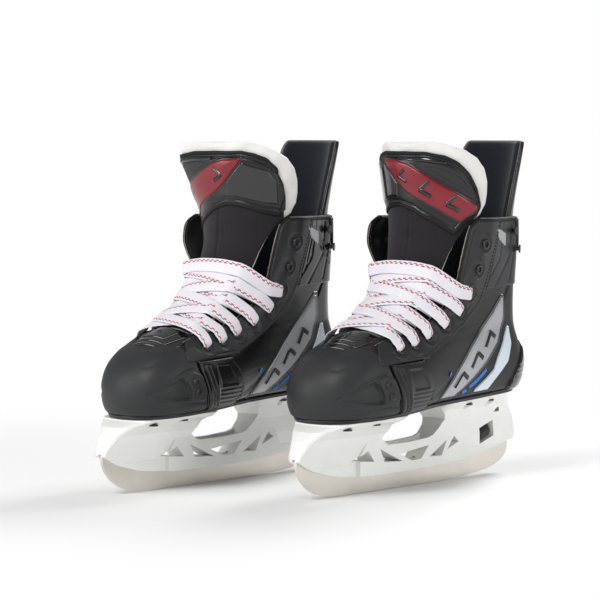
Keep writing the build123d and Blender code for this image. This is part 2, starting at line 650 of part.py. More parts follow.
skate = {
    "outsole": make_outsole(),
    "quarter_shell": make_quarter(),
    "toe_cap": make_toe_cap(),
    "side_bumpers": overlay_piece(BUMPER),
    "facing_lateral": make_facing(0.0, 90.0, eyelet_holes[:len(EYELETS)]),
    "facing_medial": make_facing(-90.0, 0.0, eyelet_holes[len(EYELETS):]),
    "eyelets": Compound(children=eyelets),
    "heel_counter": overlay_piece(HEEL_COUNTER),
    "heel_band": overlay_piece(HEEL_BAND),
    "ankle_panel": cut_each(overlay_piece(ANKLE), guard_bores),
    "ankle_liner": make_liner(),
    "midsole_board": make_midsole(),
    "footbed": board(-6.0, 6.8, 10.3),
    "vamp_tab": make_vamp_tab(),
    "tongue_lower": tongue_lower,
    "tongue_upper": tongue_upper,
    "tongue_plate": tongue_plate(raised=2.5, thickness=2.1),
    "tongue_badge": make_badge(),
    "guard_base": make_guard_base(),
    "tendon_guard": guard_layer(raised=0.0, thickness=2.4),
    "guard_pad": guard_layer(raised=-2.7, thickness=6.0, trim=1.5),
    "guard_rivets": Compound(children=guard_rivets),
    "lace": Compound(children=straps),
    "blade_holder": make_holder(),
    "holder_rivets": Compound(children=sole_rivets),
    "runner": make_runner(),
    "lock_dial": make_dial(),
    "lock_hook": one(lock_cylinder(SHANK_R, -12.5, 13.0) + side_prism(HOOK, -1.4, 1.4)),
    "lock_washers": Compound(children=washers),
}

# ---- place, mirror and export ----------------------------------------------------------------
left_place = Location((SPACING_X / 2, STAGGER_Y / 2, 0))
right_place = Location((-SPACING_X / 2, -STAGGER_Y / 2, 0))
os.makedirs("parts", exist_ok=True)
for name, shape in skate.items():
    left = [solid.moved(left_place) for solid in shape.solids()]
    right = [solid.mirror(Plane.YZ).moved(right_place) for solid in shape.solids()]
    for side, solids in (("left", left), ("right", right)):
        piece = solids[0] if len(solids) == 1 else Compound(children=solids)
        export_step(piece, f"parts/{side}_{name}.step")
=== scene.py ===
"""A pair of ice skates standing side by side on a pale floor.

The scene is in metres with +Z up. The toes point to -Y and the left skate stands at +X.
Pieces are built in one skate's own millimetres: x is positive on the outer flank, y runs from
toe to heel and z is the height above the floor. The right skate mirrors x.

Most boot pieces are sheets laid on one smooth boot form. A point on the form has a level
(row of LAST, 0 at the sole to 13 at the collar) and a place round the ring (0 at the toe,
0 to 12 along the outer flank, 12 at the heel, 12 to 24 back along the inner flank).
"""
import math
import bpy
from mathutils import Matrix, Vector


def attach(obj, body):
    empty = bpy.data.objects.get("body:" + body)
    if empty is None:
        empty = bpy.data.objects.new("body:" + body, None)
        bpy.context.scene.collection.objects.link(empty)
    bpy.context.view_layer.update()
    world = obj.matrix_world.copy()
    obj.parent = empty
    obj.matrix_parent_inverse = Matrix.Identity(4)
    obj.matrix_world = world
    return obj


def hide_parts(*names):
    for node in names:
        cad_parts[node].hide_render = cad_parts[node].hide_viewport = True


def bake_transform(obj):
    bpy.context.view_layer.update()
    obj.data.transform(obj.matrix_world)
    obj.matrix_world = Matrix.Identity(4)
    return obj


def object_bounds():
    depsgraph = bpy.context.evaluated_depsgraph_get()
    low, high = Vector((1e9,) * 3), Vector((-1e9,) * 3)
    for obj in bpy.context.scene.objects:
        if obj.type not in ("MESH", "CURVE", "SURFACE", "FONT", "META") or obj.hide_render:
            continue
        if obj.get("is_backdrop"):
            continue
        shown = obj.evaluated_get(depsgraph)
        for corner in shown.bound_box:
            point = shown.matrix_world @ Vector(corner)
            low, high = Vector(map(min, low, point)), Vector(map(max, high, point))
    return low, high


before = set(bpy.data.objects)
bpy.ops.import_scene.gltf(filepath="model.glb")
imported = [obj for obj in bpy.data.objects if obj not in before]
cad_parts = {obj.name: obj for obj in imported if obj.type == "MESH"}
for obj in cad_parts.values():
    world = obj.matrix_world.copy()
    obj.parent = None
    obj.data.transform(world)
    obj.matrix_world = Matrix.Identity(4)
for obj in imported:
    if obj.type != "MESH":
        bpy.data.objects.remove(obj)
from types import SimpleNamespace

import bmesh
import bpy
import numpy as np
from mathutils import Vector

cad_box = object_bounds()
MM = 0.001
UP = np.array([0.0, 0.0, 1.0])

# Skate: x and y of its origin in mm, and the way its own x runs.
SKATES = {"left": (73.0, 41.0, 1), "right": (-73.0, -41.0, -1)}
FLANKS = {1: "outer", -1: "inner"}

# ---------------------------------------------------------------- boot form
# Levels from sole to collar. Columns: z at LEVEL_FRONT_Y and z LEVEL_RUN behind it, y of the
# toe and of the heel end, then half width and its y at the ball, the waist and the heel.
LAST = [
    (66.0, 80.5, -119.0, 130.0, 40.0, -62, 30.0, 8, 30.0, 98),
    (70.0, 84.0, -121.8, 134.0, 44.6, -62, 34.5, 8, 33.5, 99),
    (79.0, 92.5, -124.0, 137.0, 47.0, -62, 38.5, 8, 36.0, 100),
    (90.0, 103.0, -124.2, 138.2, 47.4, -62, 41.5, 8, 37.0, 101),
    (101.0, 114.0, -121.0, 136.0, 46.0, -60, 43.0, 8, 37.0, 99),
    (110.0, 123.0, -114.0, 132.0, 43.4, -58, 43.6, 8, 36.5, 97),
    (117.5, 131.0, -104.0, 128.0, 39.8, -52, 43.9, 8, 36.0, 95),
    (125.0, 139.5, -83.0, 125.5, 35.0, -44, 43.6, 8, 35.6, 93),
    (137.5, 150.0, -62.0, 124.0, 32.5, -32, 43.2, 12, 36.0, 92),
    (152.0, 163.0, -45.0, 123.2, 35.5, -10, 43.4, 20, 36.5, 92),
    (169.0, 179.0, -32.0, 123.4, 40.0, 5, 45.2, 32, 37.2, 92),
    (188.0, 196.0, -22.0, 124.0, 43.5, 15, 47.6, 42, 38.0, 93),
    (209.0, 212.0, -14.0, 124.0, 46.2, 20, 50.0, 50, 38.6, 93),
    (232.5, 229.5, -8.0, 123.2, 48.0, 24, 51.6, 54, 38.8, 93),
]
LEVEL_FRONT_Y, LEVEL_RUN = -128.0, 266.0
TOP = len(LAST) - 1
HEEL = 12
RING = 2 * HEEL
SAMPLES_PER_STEP = 14
# Superellipse exponents of the toe and heel ends.
TOE_POWER, HEEL_POWER = 2 / 2.35, 2 / 2.25


def unit(vectors):
    return vectors / (np.linalg.norm(vectors, axis=-1, keepdims=True) + 1e-12)


def smooth(points, places):
    """Catmull-Rom curve through the rows of points, read at places counted in rows."""
    points = np.asarray(points, float)
    last = len(points) - 1
    places = np.clip(np.asarray(places, float), 0, last - 1e-9)
    i = places.astype(int)
    t = (places - i)[:, None]
    a, b = points[np.maximum(i - 1, 0)], points[i]
    c, d = points[np.minimum(i + 1, last)], points[np.minimum(i + 2, last)]
    return 0.5 * (2 * b + (c - a) * t + (2 * a - 5 * b + 4 * c - d) * t ** 2
                  + (3 * b - a - 3 * c + d) * t ** 3)


def half_outline(row):
    """The 13 (x, y) points of a level's outer half, from toe to heel."""
    toe_y, heel_y, ball_x, ball_y, waist_x, waist_y, rear_x, rear_y = row[2:]
    toe, heel = [], []
    for angle in np.radians((24, 45, 66)):
        sin, cos = np.sin(angle), np.cos(angle)
        toe.append((ball_x * sin ** TOE_POWER, ball_y - (ball_y - toe_y) * cos ** TOE_POWER))
        heel.insert(0, (rear_x * sin ** HEEL_POWER,
                        rear_y + (heel_y - rear_y) * cos ** HEEL_POWER))
    before_waist = (0.5 * (ball_x + waist_x) + 0.12 * (ball_x - waist_x),
                    0.5 * (ball_y + waist_y))
    after_waist = (0.5 * (waist_x + rear_x) + 0.4, 0.5 * (waist_y + rear_y))
    return np.array([(0.0, toe_y), *toe, (ball_x, ball_y), before_waist, (waist_x, waist_y),
                     after_waist, (rear_x, rear_y), *heel, (0.0, heel_y)])


def sampled_outline(row):
    """The smoothed half outline; two mirrored points past each end keep it round there."""
    half = half_outline(row)
    mirrored = half * (-1, 1)
    full = np.concatenate([mirrored[2:0:-1], half, mirrored[-2:-4:-1]])
    return smooth(full, PLACES + 2)


LEVELS = np.linspace(0, TOP, (TOP + 1) * SAMPLES_PER_STEP)
PLACES = np.linspace(0, HEEL, HEEL * SAMPLES_PER_STEP + 1)
ROWS = smooth(LAST, LEVELS)
OUTLINES = np.array([sampled_outline(row) for row in ROWS])
FRONT_Z = ROWS[:, 0]
SLOPE = (ROWS[:, 1] - ROWS[:, 0]) / LEVEL_RUN


def height(level, y):
    return (np.interp(level, LEVELS, FRONT_Z)
            + np.interp(level, LEVELS, SLOPE) * (y - LEVEL_FRONT_Y))


def level_at(y, z):
    return float(np.interp(z, FRONT_Z + SLOPE * (y - LEVEL_FRONT_Y), LEVELS))


def ring_y(level):
    """The y values of the sampled outline nearest to a level."""
    last = len(LEVELS) - 1
    return OUTLINES[int(np.clip(round(level / TOP * last), 0, last)), :, 1]


def toe_shift(y):
    """How far the form swings to the inner side ahead of the ball."""
    return -5.0 * (np.maximum(-y - 40.0, 0.0) / 90.0) ** 2


def boot_point(level, place):
    level, place = np.broadcast_arrays(np.asarray(level, float), np.asarray(place, float))
    place = np.mod(place, RING)
    way = np.where(place <= HEEL, 1.0, -1.0)
    place = np.where(place <= HEEL, place, RING - place)
    rows, columns = len(LEVELS) - 1, len(PLACES) - 1
    row = np.clip(level / TOP * rows, 0, rows - 1e-9)
    column = np.clip(place / HEEL * columns, 0, columns - 1e-9)
    i, j = row.astype(int), column.astype(int)
    s, t = (row - i)[..., None], (column - j)[..., None]
    flat = (OUTLINES[i, j] * (1 - s) * (1 - t) + OUTLINES[i + 1, j] * s * (1 - t)
            + OUTLINES[i, j + 1] * (1 - s) * t + OUTLINES[i + 1, j + 1] * s * t)
    y = flat[..., 1]
    return np.stack([flat[..., 0] * way + toe_shift(y), y, height(level, y)], -1)


def on_boot(y, z, flank, lift):
    """Point lifted off a flank at side-view place (y, z), and the outward normal there."""
    level = level_at(y, z)
    place = float(np.interp(y, ring_y(level), PLACES))
    step = 0.06
    here, above, below, behind, ahead = boot_point(
        [level, level + step, level - step, level, level],
        [place, place, place, place + step, place - step])
    normal = unit(np.cross(behind - ahead, above - below))
    if normal[0] < 0:
        normal = -normal
    point = here + normal * lift
    if flank < 0:
        point[0] = 2 * toe_shift(here[1]) - point[0]
        normal = normal * (-1, 1, 1)
    return point, normal


def flank_path(points, flank, lift, smoothed=True):
    """3D path on a flank along side-view (y, z) points."""
    if smoothed:
        points = smooth(points, np.linspace(0, len(points) - 1, 12 * len(points)))
    return np.array([on_boot(y, z, flank, lift)[0] for y, z in points])


# ---------------------------------------------------------------- side-view edges
def edge_curve(points, smoothed=True):
    """Heights and y values of a (y, z) line, sorted by height."""
    if smoothed:
        points = smooth(points, np.linspace(0, len(points) - 1, 80))
    points = np.asarray(points, float)
    points = points[np.argsort(points[:, 1])]
    return points[:, 1], points[:, 0]


def crossing(level, heights, edge_y):
    """Ring place where a level crosses an edge curve."""
    y = ring_y(level)
    beyond = y - np.interp(height(level, y), heights, edge_y)
    before = np.where((beyond[:-1] < 0) & (beyond[1:] >= 0))[0]
    if len(before) == 0:
        return 0.0 if beyond[0] > 0 else float(HEEL)
    i = before[0]
    return float(PLACES[i] + (PLACES[i + 1] - PLACES[i]) * -beyond[i]
                 / (beyond[i + 1] - beyond[i]))


def edge_line(points, smoothed=True, shift_y=0.0):
    """Function from level to ring place that follows a (y, z) line."""
    heights, edge_y = edge_curve(points, smoothed)
    return lambda level: crossing(level, heights, edge_y + shift_y)


# Side-view (y, z) lines and the eyelet centres, toe to collar.
THROAT = [
    (-80, 117), (-79, 119), (-76, 122), (-70, 127.5), (-60, 131), (-45, 133.5), (-27, 138.5),
    (-9, 146), (6, 156), (17.5, 169), (21.5, 187), (23.5, 200), (26.5, 214), (30.5, 224.5),
    (41, 232.6)]
CAP_REAR = [(-56.5, 62), (-57.2, 66), (-62.5, 85), (-69.0, 103), (-71.5, 113), (-76, 119),
            (-81, 124), (-90, 130)]
FACING_REAR = [(-70.0, 113.0), (-60, 112.8), (-28, 113.2), (-14, 119), (3, 127.5), (31, 143.5),
               (49, 156.5), (58, 174), (65.5, 205), (72.5, 232)]
EYELETS = [(-54.0, 122.5), (-35.0, 125.5), (-16.0, 131.5), (2.5, 140.5), (20.5, 151.5),
           (33.5, 167.0), (41.0, 188.0), (46.5, 209.5)]

throat_edge = edge_line(THROAT)
gusset_edge = edge_line(THROAT, shift_y=2.5)
cap_edge = edge_line(CAP_REAR)
facing_edge = edge_line(FACING_REAR)


def quarter_edge_curve():
    """The cap's rear edge up to z 119, then the throat above z 122."""
    cap_z, cap_y = edge_curve(CAP_REAR)
    throat_z, throat_y = edge_curve(THROAT)
    low, high = cap_z < 119, throat_z > 122
    return (np.concatenate([cap_z[low], throat_z[high]]),
            np.concatenate([cap_y[low] + 0.6, throat_y[high]]))


QUARTER_EDGE = quarter_edge_curve()


def quarter_edge(level):
    return crossing(level, *QUARTER_EDGE)


# ---------------------------------------------------------------- meshes: (verts, faces[, uvs])
def grid_faces(rows, columns, start=0, flip=False, wrap=False):
    faces = []
    for i in range(rows - 1):
        for j in range(columns if wrap else columns - 1):
            a = start + i * columns + j
            b = start + i * columns + (j + 1) % columns
            c, d = b + columns, a + columns
            faces.append((a, d, c, b) if flip else (a, b, c, d))
    return faces


def capped_faces(rings, around):
    """Faces of stacked rings with both ends closed."""
    return grid_faces(rings, around, wrap=True) + [
        tuple(range(around - 1, -1, -1)), tuple(range((rings - 1) * around, rings * around))]


def merge(meshes):
    """One mesh with UVs from several; those without UVs get zeros."""
    verts, faces, uvs = [], [], []
    for mesh in meshes:
        start = len(verts)
        verts.extend(mesh[0])
        faces += [tuple(i + start for i in face) for face in mesh[1]]
        uvs.extend(mesh[2] if len(mesh) == 3 else [(0, 0)] * len(mesh[0]))
    return verts, faces, uvs


def lengths(points, axis=0):
    """Running length along one axis of a path or grid."""
    steps = np.linalg.norm(np.diff(points, axis=axis), axis=-1)
    return np.insert(np.cumsum(steps, axis), 0, 0.0, axis)


def resample(path, step):
    run = lengths(path)
    places = np.linspace(0, run[-1], max(2, int(run[-1] / step) + 1))
    return np.stack([np.interp(places, run, path[:, i]) for i in range(3)], 1)


def bunched(count, share=0.65):
    """0 to 1 in count values that crowd towards both ends as share grows."""
    t = np.linspace(0, 1, count)
    return t * (1 - share) + (0.5 - 0.5 * np.cos(np.pi * t)) * share


def bell(distance, width, power=2):
    return np.exp(-(distance / width) ** power)


def grid_normals(points):
    return unit(np.cross(np.gradient(points, axis=1), np.gradient(points, axis=0)))


class Sheet:
    """Grid of surface points with normals and each point's distance from the grid's edge."""

    def __init__(self, points, normals):
        self.points, self.normals = points, normals
        self.y, self.z = points[..., 1], points[..., 2]
        along, up = lengths(points, 1), lengths(points, 0)
        self.edge = np.minimum(np.minimum(along, along[:, -1:] - along),
                               np.minimum(up, up[-1:] - up))

    def fade(self, reach):
        """0 at the edge, 1 from reach inwards."""
        return np.clip(self.edge / reach, 0, 1)

    def rounded(self, thick, corner):
        return thick * np.sqrt(np.clip(1 - (1 - self.fade(corner)) ** 2, 0, 1))

    def distance(self, line):
        """Side-view distance from a (y, z) polyline."""
        best = np.full(self.y.shape, 1e9)
        spots = self.points[..., 1:3]
        line = np.asarray(line, float)
        for start, end in zip(line, line[1:]):
            run = end - start
            t = np.clip((spots - start) @ run / (run @ run), 0, 1)
            gap = np.linalg.norm(spots - (start + t[..., None] * run), axis=-1)
            best = np.minimum(best, gap)
        return best

    def inside(self, polygon, soft):
        """1 inside a side-view polygon, falling to 0 over soft mm outside it."""
        closed = polygon + polygon[:1]
        within = np.zeros(self.y.shape, bool)
        for (y0, z0), (y1, z1) in zip(closed, closed[1:]):
            spans = (z0 > self.z) != (z1 > self.z)
            within ^= spans & (self.y < (y1 - y0) * (self.z - z0) / ((z1 - z0) or 1e-9) + y0)
        return np.where(within, 1.0, np.clip(1 - self.distance(closed) / soft, 0, 1))

    def lines(self, *entries):
        """Relief of (line, width, rise) entries; a negative rise is a groove."""
        return sum(rise * bell(self.distance(line), width) for line, width, rise in entries)

    def slab(self, top, under):
        """Closed mesh between two lifts along the normals."""
        rows, columns = self.y.shape
        count = rows * columns
        verts = np.concatenate([
            (self.points + self.normals * np.broadcast_to(lift, self.y.shape)[..., None])
            .reshape(-1, 3) for lift in (top, under)])
        faces = grid_faces(rows, columns) + grid_faces(rows, columns, count, flip=True)
        rim = (list(range(columns))
               + [i * columns + columns - 1 for i in range(1, rows)]
               + [(rows - 1) * columns + j for j in range(columns - 2, -1, -1)]
               + [i * columns for i in range(rows - 2, 0, -1)])
        faces += [(b, a, a + count, b + count) for a, b in zip(rim, rim[1:] + rim[:1])]
        return verts, faces

    def panel(self, base, thick, corner, under, relief=0.0):
        """Slab whose top rises by thick from base over a rounded corner."""
        return self.slab(base + self.rounded(thick, corner) + relief, under)


def boot_sheet(low, high, start, end, rows, columns):
    """Sheet on the boot between two levels and two level-to-place functions."""
    levels = low + (high - low) * bunched(rows)
    first = np.array([start(level) for level in levels])[:, None]
    last = np.array([end(level) for level in levels])[:, None]
    places = first + (last - first) * bunched(columns)[None]
    points = boot_point(levels[:, None], places)
    normals = grid_normals(points)
    from_middle = (points - (0, 10.0, 140.0)) * normals * (1, 1, 0.3)
    return Sheet(points, normals if from_middle.sum() > 0 else -normals)


def heel_wrap(low, high, edge, rows, columns):
    return boot_sheet(low, high, edge, lambda level: RING - edge(level), rows, columns)


def toe_wrap(low, high, edge, rows, columns):
    return boot_sheet(low, high, lambda level: -edge(level), edge, rows, columns)


def flank_sheet(flank, low, high, front, rear, rows, columns):
    if flank > 0:
        return boot_sheet(low, high, front, rear, rows, columns)
    return boot_sheet(low, high, lambda level: RING - rear(level),
                      lambda level: RING - front(level), rows, columns)


def tube(path, radius, around, half_depth=None, width_ways=None):
    """Round tube along a path, or with half_depth a flat one, radius being its half width.

    width_ways is the direction of the width, one for the path or one per point.
    """
    path = np.asarray(path, float)
    count = len(path)
    ahead = unit(np.gradient(path, axis=0))
    angles = 2 * np.pi * np.arange(around) / around
    cos, sin = np.cos(angles), np.sin(angles)
    if half_depth is None:
        half_depth = radius
    else:
        cos = np.sign(cos) * np.abs(cos) ** 0.55
        sin = np.sign(sin) * np.abs(sin) ** 0.8
    radii, depths = np.broadcast_to(radius, count), np.broadcast_to(half_depth, count)
    if width_ways is not None:
        width_ways = np.broadcast_to(width_ways, (count, 3))
    across = UP if abs(ahead[0][2]) < 0.9 else np.array([1.0, 0, 0])
    rings = []
    for i in range(count):
        if width_ways is not None:
            across = width_ways[i]
        across = unit(across - ahead[i] * (across @ ahead[i]))
        rings.append(path[i] + np.outer(cos * radii[i], across)
                     + np.outer(sin * depths[i], np.cross(ahead[i], across)))
    return np.concatenate(rings), capped_faces(count, around)


def turned_points(centre, normal, profile, around, across=None):
    """Rings of a (radius, height) profile turned about a normal."""
    if across is None:
        across = unit(np.cross(normal, UP))
    angles = np.linspace(0, 2 * np.pi, around + 1)[:-1]
    spokes = np.outer(np.cos(angles), across) + np.outer(np.sin(angles), np.cross(normal, across))
    return np.concatenate([centre + normal * rise + spokes * radius for radius, rise in profile])


def stitches(path, pitch, length, radius):
    """Separate thread stitches lying along a path."""
    around = 6
    along = np.array([-0.5, -0.36, 0, 0.36, 0.5]) * length
    radii = np.array([0.12, 0.85, 1.0, 0.85, 0.12]) * radius
    knots = resample(path, pitch)
    meshes = []
    for start, end in zip(knots, knots[1:]):
        line = (start + end) / 2 + np.outer(along, unit(end - start))
        uvs = [(run, j / around) for run in lengths(line) for j in range(around)]
        meshes.append((*tube(line, radii, around), uvs))
    return meshes


# ---------------------------------------------------------------- objects
def mark_sharp(data, degrees):
    """Mark edges whose faces meet at more than the given angle."""
    shape = bmesh.new()
    shape.from_mesh(data)
    limit = math.radians(degrees)
    attribute = (data.attributes.get("sharp_edge")
                 or data.attributes.new("sharp_edge", "BOOLEAN", "EDGE"))
    flags = [False] * len(data.edges)
    for edge in shape.edges:
        if len(edge.link_faces) == 2 and edge.calc_face_angle(0.0) > limit:
            flags[edge.index] = True
    shape.free()
    attribute.data.foreach_set("value", flags)


def ease(t):
    t = np.clip(t, 0, 1)
    return t ** 2 * (3 - 2 * t)


def bend(side, name, verts):
    """Worn-in looseness: the right tongue's outer corner and both collars' world -x flank."""
    verts = verts.copy()
    x, y, z = verts.T
    if side == "right" and name.startswith(("tongue", "plate", "badge")):
        amount = np.clip((z - 238) / 50, 0, 1) * np.clip((x - 2) / 34, 0, 1) ** 1.5
        verts[:, 0] += 12.0 * amount
        verts[:, 1] -= 8.0 * amount
    if not name.startswith(("tongue", "plate", "badge", "band", "guard")):
        way = -1.0 if side == "left" else 1.0
        amount = ease((z - 168) / 46) * ease((66 - y) / 40) * ease((way * x - 18) / 22)
        verts[:, 0] += way * 10.0 * amount
        verts[:, 1] -= 10.0 * amount
    return verts


def add_piece(side, name, mesh, material, body="boot", replaces=(), slot=None,
              sharp_angle=None, minus_x_material=None):
    """A piece of body "tongue" is baked in place and attached to no body.
    """
    origin_x, origin_y, way = SKATES[side]
    local, faces = np.array(mesh[0], float), mesh[1]
    placed = (bend(side, name, local) * (way, 1, 1) + (origin_x, origin_y, 0)) * MM
    data = bpy.data.meshes.new(name)
    data.from_pydata(placed.tolist(), [], [face[::way] for face in faces])
    data.validate()
    if len(mesh) == 3:
        corners = np.zeros(len(data.loops), int)
        data.loops.foreach_get("vertex_index", corners)
        uvs = np.asarray(mesh[2], float)[corners].astype(np.float32)
        data.uv_layers.new(name="UVMap").data.foreach_set("uv", uvs.ravel())
    data.materials.append(MATERIALS[material])
    if minus_x_material:
        data.materials.append(MATERIALS[minus_x_material])
        data.polygons.foreach_set(
            "material_index", [int(sum(local[i][0] for i in face) < 0) for face in faces])
    data.polygons.foreach_set("use_smooth", [True] * len(data.polygons))
    if sharp_angle:
        mark_sharp(data, sharp_angle)
    data.update()
    piece = bpy.data.objects.new(f"{side}_{name}", data)
    bpy.context.scene.collection.objects.link(piece)
    if body == "tongue":
        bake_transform(piece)
    else:
        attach(piece, f"{side}_{body}")
    if replaces:
        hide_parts(*[f"{side}_{part}" for part in replaces])


# ---------------------------------------------------------------- materials
MATERIALS = {}


class Nodes:
    """Short calls for filling one node tree; add and its relatives return an output socket."""

    def __init__(self, tree):
        self.tree = tree

    def fill(self, target, inputs):
        """Link sockets and set plain values on a node's inputs."""
        for key, value in inputs.items():
            if isinstance(value, bpy.types.NodeSocket):
                self.tree.links.new(value, target.inputs[key])
            else:
                target.inputs[key].default_value = value

    def add(self, kind, inputs=None, output=0, **settings):
        new = self.tree.nodes.new("ShaderNode" + kind)
        for key, value in settings.items():
            setattr(new, key, value)
        self.fill(new, inputs or {})
        return new.outputs[output]

    def maths(self, operation, *values):
        return self.add("Math", dict(enumerate(values)), operation=operation)

    def mix(self, factor, first, second):
        return self.add("MixRGB", {"Fac": factor, "Color1": first, "Color2": second})

    def ramp(self, factor, colours=None, positions=(0.0, 1.0)):
        colour = self.add("ValToRGB", {"Fac": factor}, "Color")
        elements = colour.node.color_ramp.elements
        for i in range(2):
            elements[i].position = positions[i]
            if colours:
                elements[i].color = colours[i]
        return colour

    def noise(self, vector, scale, detail, roughness=0.5):
        return self.add("TexNoise", {"Vector": vector, "Scale": scale, "Detail": detail,
                                     "Roughness": roughness}, "Fac")

    def object_space(self):
        return self.add("TexCoord", output="Object")

    def mapped(self, vector, scale=(1, 1, 1)):
        return self.add("Mapping", {"Vector": vector, "Scale": scale})

    def spread(self, value, low, high):
        return self.add("MapRange", {"Value": value, "To Min": low, "To Max": high}, "Result")

    def bump(self, height, strength, distance):
        return self.add("Bump", {"Height": height, "Strength": strength, "Distance": distance})


def new_material(name):
    material = bpy.data.materials.new(name)
    material.use_nodes = True
    MATERIALS[name] = material
    return Nodes(material.node_tree), material.node_tree.nodes["Principled BSDF"]


def tint(colour, factor, extra=0.0):
    return (*np.clip(np.array(colour) * factor + extra, 0, 1), 1)


def plastic(name, colour, rough, grain, grain_bump, drift,
            coat=0.0, metallic=0.0, specular=0.5, ridge_highlight=0.0):
    """Moulded surface: fine pebble, slow drift of colour and roughness, and a painted highlight
    that makes sharp ridges paler.
    """
    nodes, surface = new_material(name)
    vector = nodes.mapped(nodes.object_space())
    slow = nodes.noise(vector, scale=38.0, detail=4.0, roughness=0.6)
    tone = nodes.ramp(slow, (tint(colour, 1 - drift), tint(colour, 1 + drift)), (0.3, 0.7))
    # Painted highlight: sharp convex ridges, found by pointiness, are mixed towards a paler tone.
    if ridge_highlight:
        ridges = nodes.ramp(nodes.add("NewGeometry", output="Pointiness"),
                            positions=(0.53, 0.62))
        ridge_highlight_mix = nodes.maths("MULTIPLY", ridges, ridge_highlight)
        tone = nodes.mix(ridge_highlight_mix, tone, tint(colour, 2.2, 0.05))
    pebble = nodes.add("TexVoronoi", {"Vector": vector, "Scale": grain}, "Distance")
    nodes.fill(surface, {
        "Base Color": tone,
        "Roughness": nodes.spread(slow, rough * 0.85, min(1.0, rough * 1.18)),
        "Normal": nodes.bump(pebble, strength=grain_bump, distance=0.0002),
        "Metallic": metallic,
        "Coat Weight": coat,
        "Coat Roughness": 0.12,
        "Specular IOR Level": specular,
    })


def cloth(name, colour, scale, rough, bump, fuzz, drift):
    """Woven cloth: two crossed thread waves drive both colour and height."""
    nodes, surface = new_material(name)
    vector = nodes.mapped(nodes.object_space())
    threads = [nodes.add("TexWave", {"Vector": vector, "Scale": scale / 6.3, "Distortion": 0.6,
                                     "Detail Scale": 2.0},
                         "Fac", wave_type="BANDS", bands_direction=way) for way in "ZY"]
    weave = nodes.maths("ADD", nodes.maths("MAXIMUM", *threads),
                        nodes.noise(vector, scale=120.0, detail=6.0, roughness=0.7))
    nodes.fill(surface, {
        "Base Color": nodes.ramp(nodes.maths("MULTIPLY", weave, 0.5),
                                 (tint(colour, 1 - drift), tint(colour, 1 + drift)),
                                 (0.35, 0.8)),
        "Normal": nodes.bump(weave, strength=bump, distance=0.0003),
        "Roughness": rough,
        "Sheen Weight": fuzz,
        "Specular IOR Level": 0.2,
    })


def felt(name, colour):
    """Matted fibres: fine and coarse noise summed."""
    nodes, surface = new_material(name)
    vector = nodes.mapped(nodes.object_space())
    fibres = nodes.maths("ADD", nodes.noise(vector, scale=900.0, detail=8.0, roughness=0.8),
                         nodes.noise(vector, scale=60.0, detail=5.0, roughness=0.6))
    nodes.fill(surface, {
        "Base Color": nodes.ramp(nodes.maths("MULTIPLY", fibres, 0.5),
                                 (tint(colour, 0.86), tint(colour, 1.04)), (0.3, 0.7)),
        "Normal": nodes.bump(fibres, strength=0.5, distance=0.0006),
        "Roughness": 0.95,
        "Sheen Weight": 0.5,
    })


def steel(name, colour, rough):
    """Steel brushed along y."""
    nodes, surface = new_material(name)
    place = nodes.object_space()
    brushed = nodes.noise(nodes.mapped(place, scale=(900, 9, 900)),
                          scale=1.0, detail=6.0, roughness=0.7)
    nodes.fill(surface, {
        "Base Color": nodes.ramp(nodes.noise(place, scale=22.0, detail=3.0),
                                 (tint(colour, 0.8), tint(colour, 1.15))),
        "Roughness": nodes.spread(brushed, rough * 0.7, rough * 1.5),
        "Normal": nodes.bump(brushed, strength=0.15, distance=0.0001),
        "Metallic": 0.9,
    })


def lace_weave(name):
    """White ribbed lace with a red and a black dashed tracer.

    UV u is mm along the lace and v runs -1 to 1 across it.
    """
    dash_pitch, dash_share, dash_slant = 5.4, 0.56, 0.6
    nodes, surface = new_material(name)
    maths = nodes.maths
    along = nodes.add("SeparateXYZ", {0: nodes.add("UVMap", output="UV")}, "X")
    across = along.node.outputs["Y"]

    def tracer(low, high, phase):
        band = maths("MULTIPLY", maths("GREATER_THAN", across, low),
                     maths("LESS_THAN", across, high))
        slanted = maths("ADD", maths("MULTIPLY", along, 1 / dash_pitch),
                        maths("MULTIPLY", across, dash_slant))
        dash = maths("LESS_THAN", maths("FRACT", maths("ADD", slanted, phase)), dash_share)
        return maths("MULTIPLY", band, dash)

    chevron = maths("ADD", along, maths("MULTIPLY", maths("ABSOLUTE", across), 0.6))
    rib_place = nodes.add("CombineXYZ", {0: maths("MULTIPLY", chevron, 0.25 * 1.9)})
    ribs = nodes.add("TexWave", {"Vector": rib_place, "Scale": 1.0, "Distortion": 0.0},
                     "Fac", wave_type="BANDS", bands_direction="X")
    fibre = nodes.noise(nodes.object_space(), scale=400.0, detail=4.0)
    tone = nodes.mix(fibre, (0.72, 0.70, 0.76, 1), (0.86, 0.84, 0.90, 1))
    tone = nodes.mix(tracer(0.24, 0.42, phase=0.0), tone, (0.62, 0.02, 0.05, 1))
    tone = nodes.mix(tracer(0.44, 0.60, phase=0.5), tone, (0.02, 0.025, 0.03, 1))
    relief = maths("ADD", ribs, maths("MULTIPLY", fibre, 0.6))
    nodes.fill(surface, {
        "Base Color": tone,
        "Normal": nodes.bump(relief, strength=0.35, distance=0.0003),
        "Roughness": 0.8,
        "Sheen Weight": 0.3,
    })
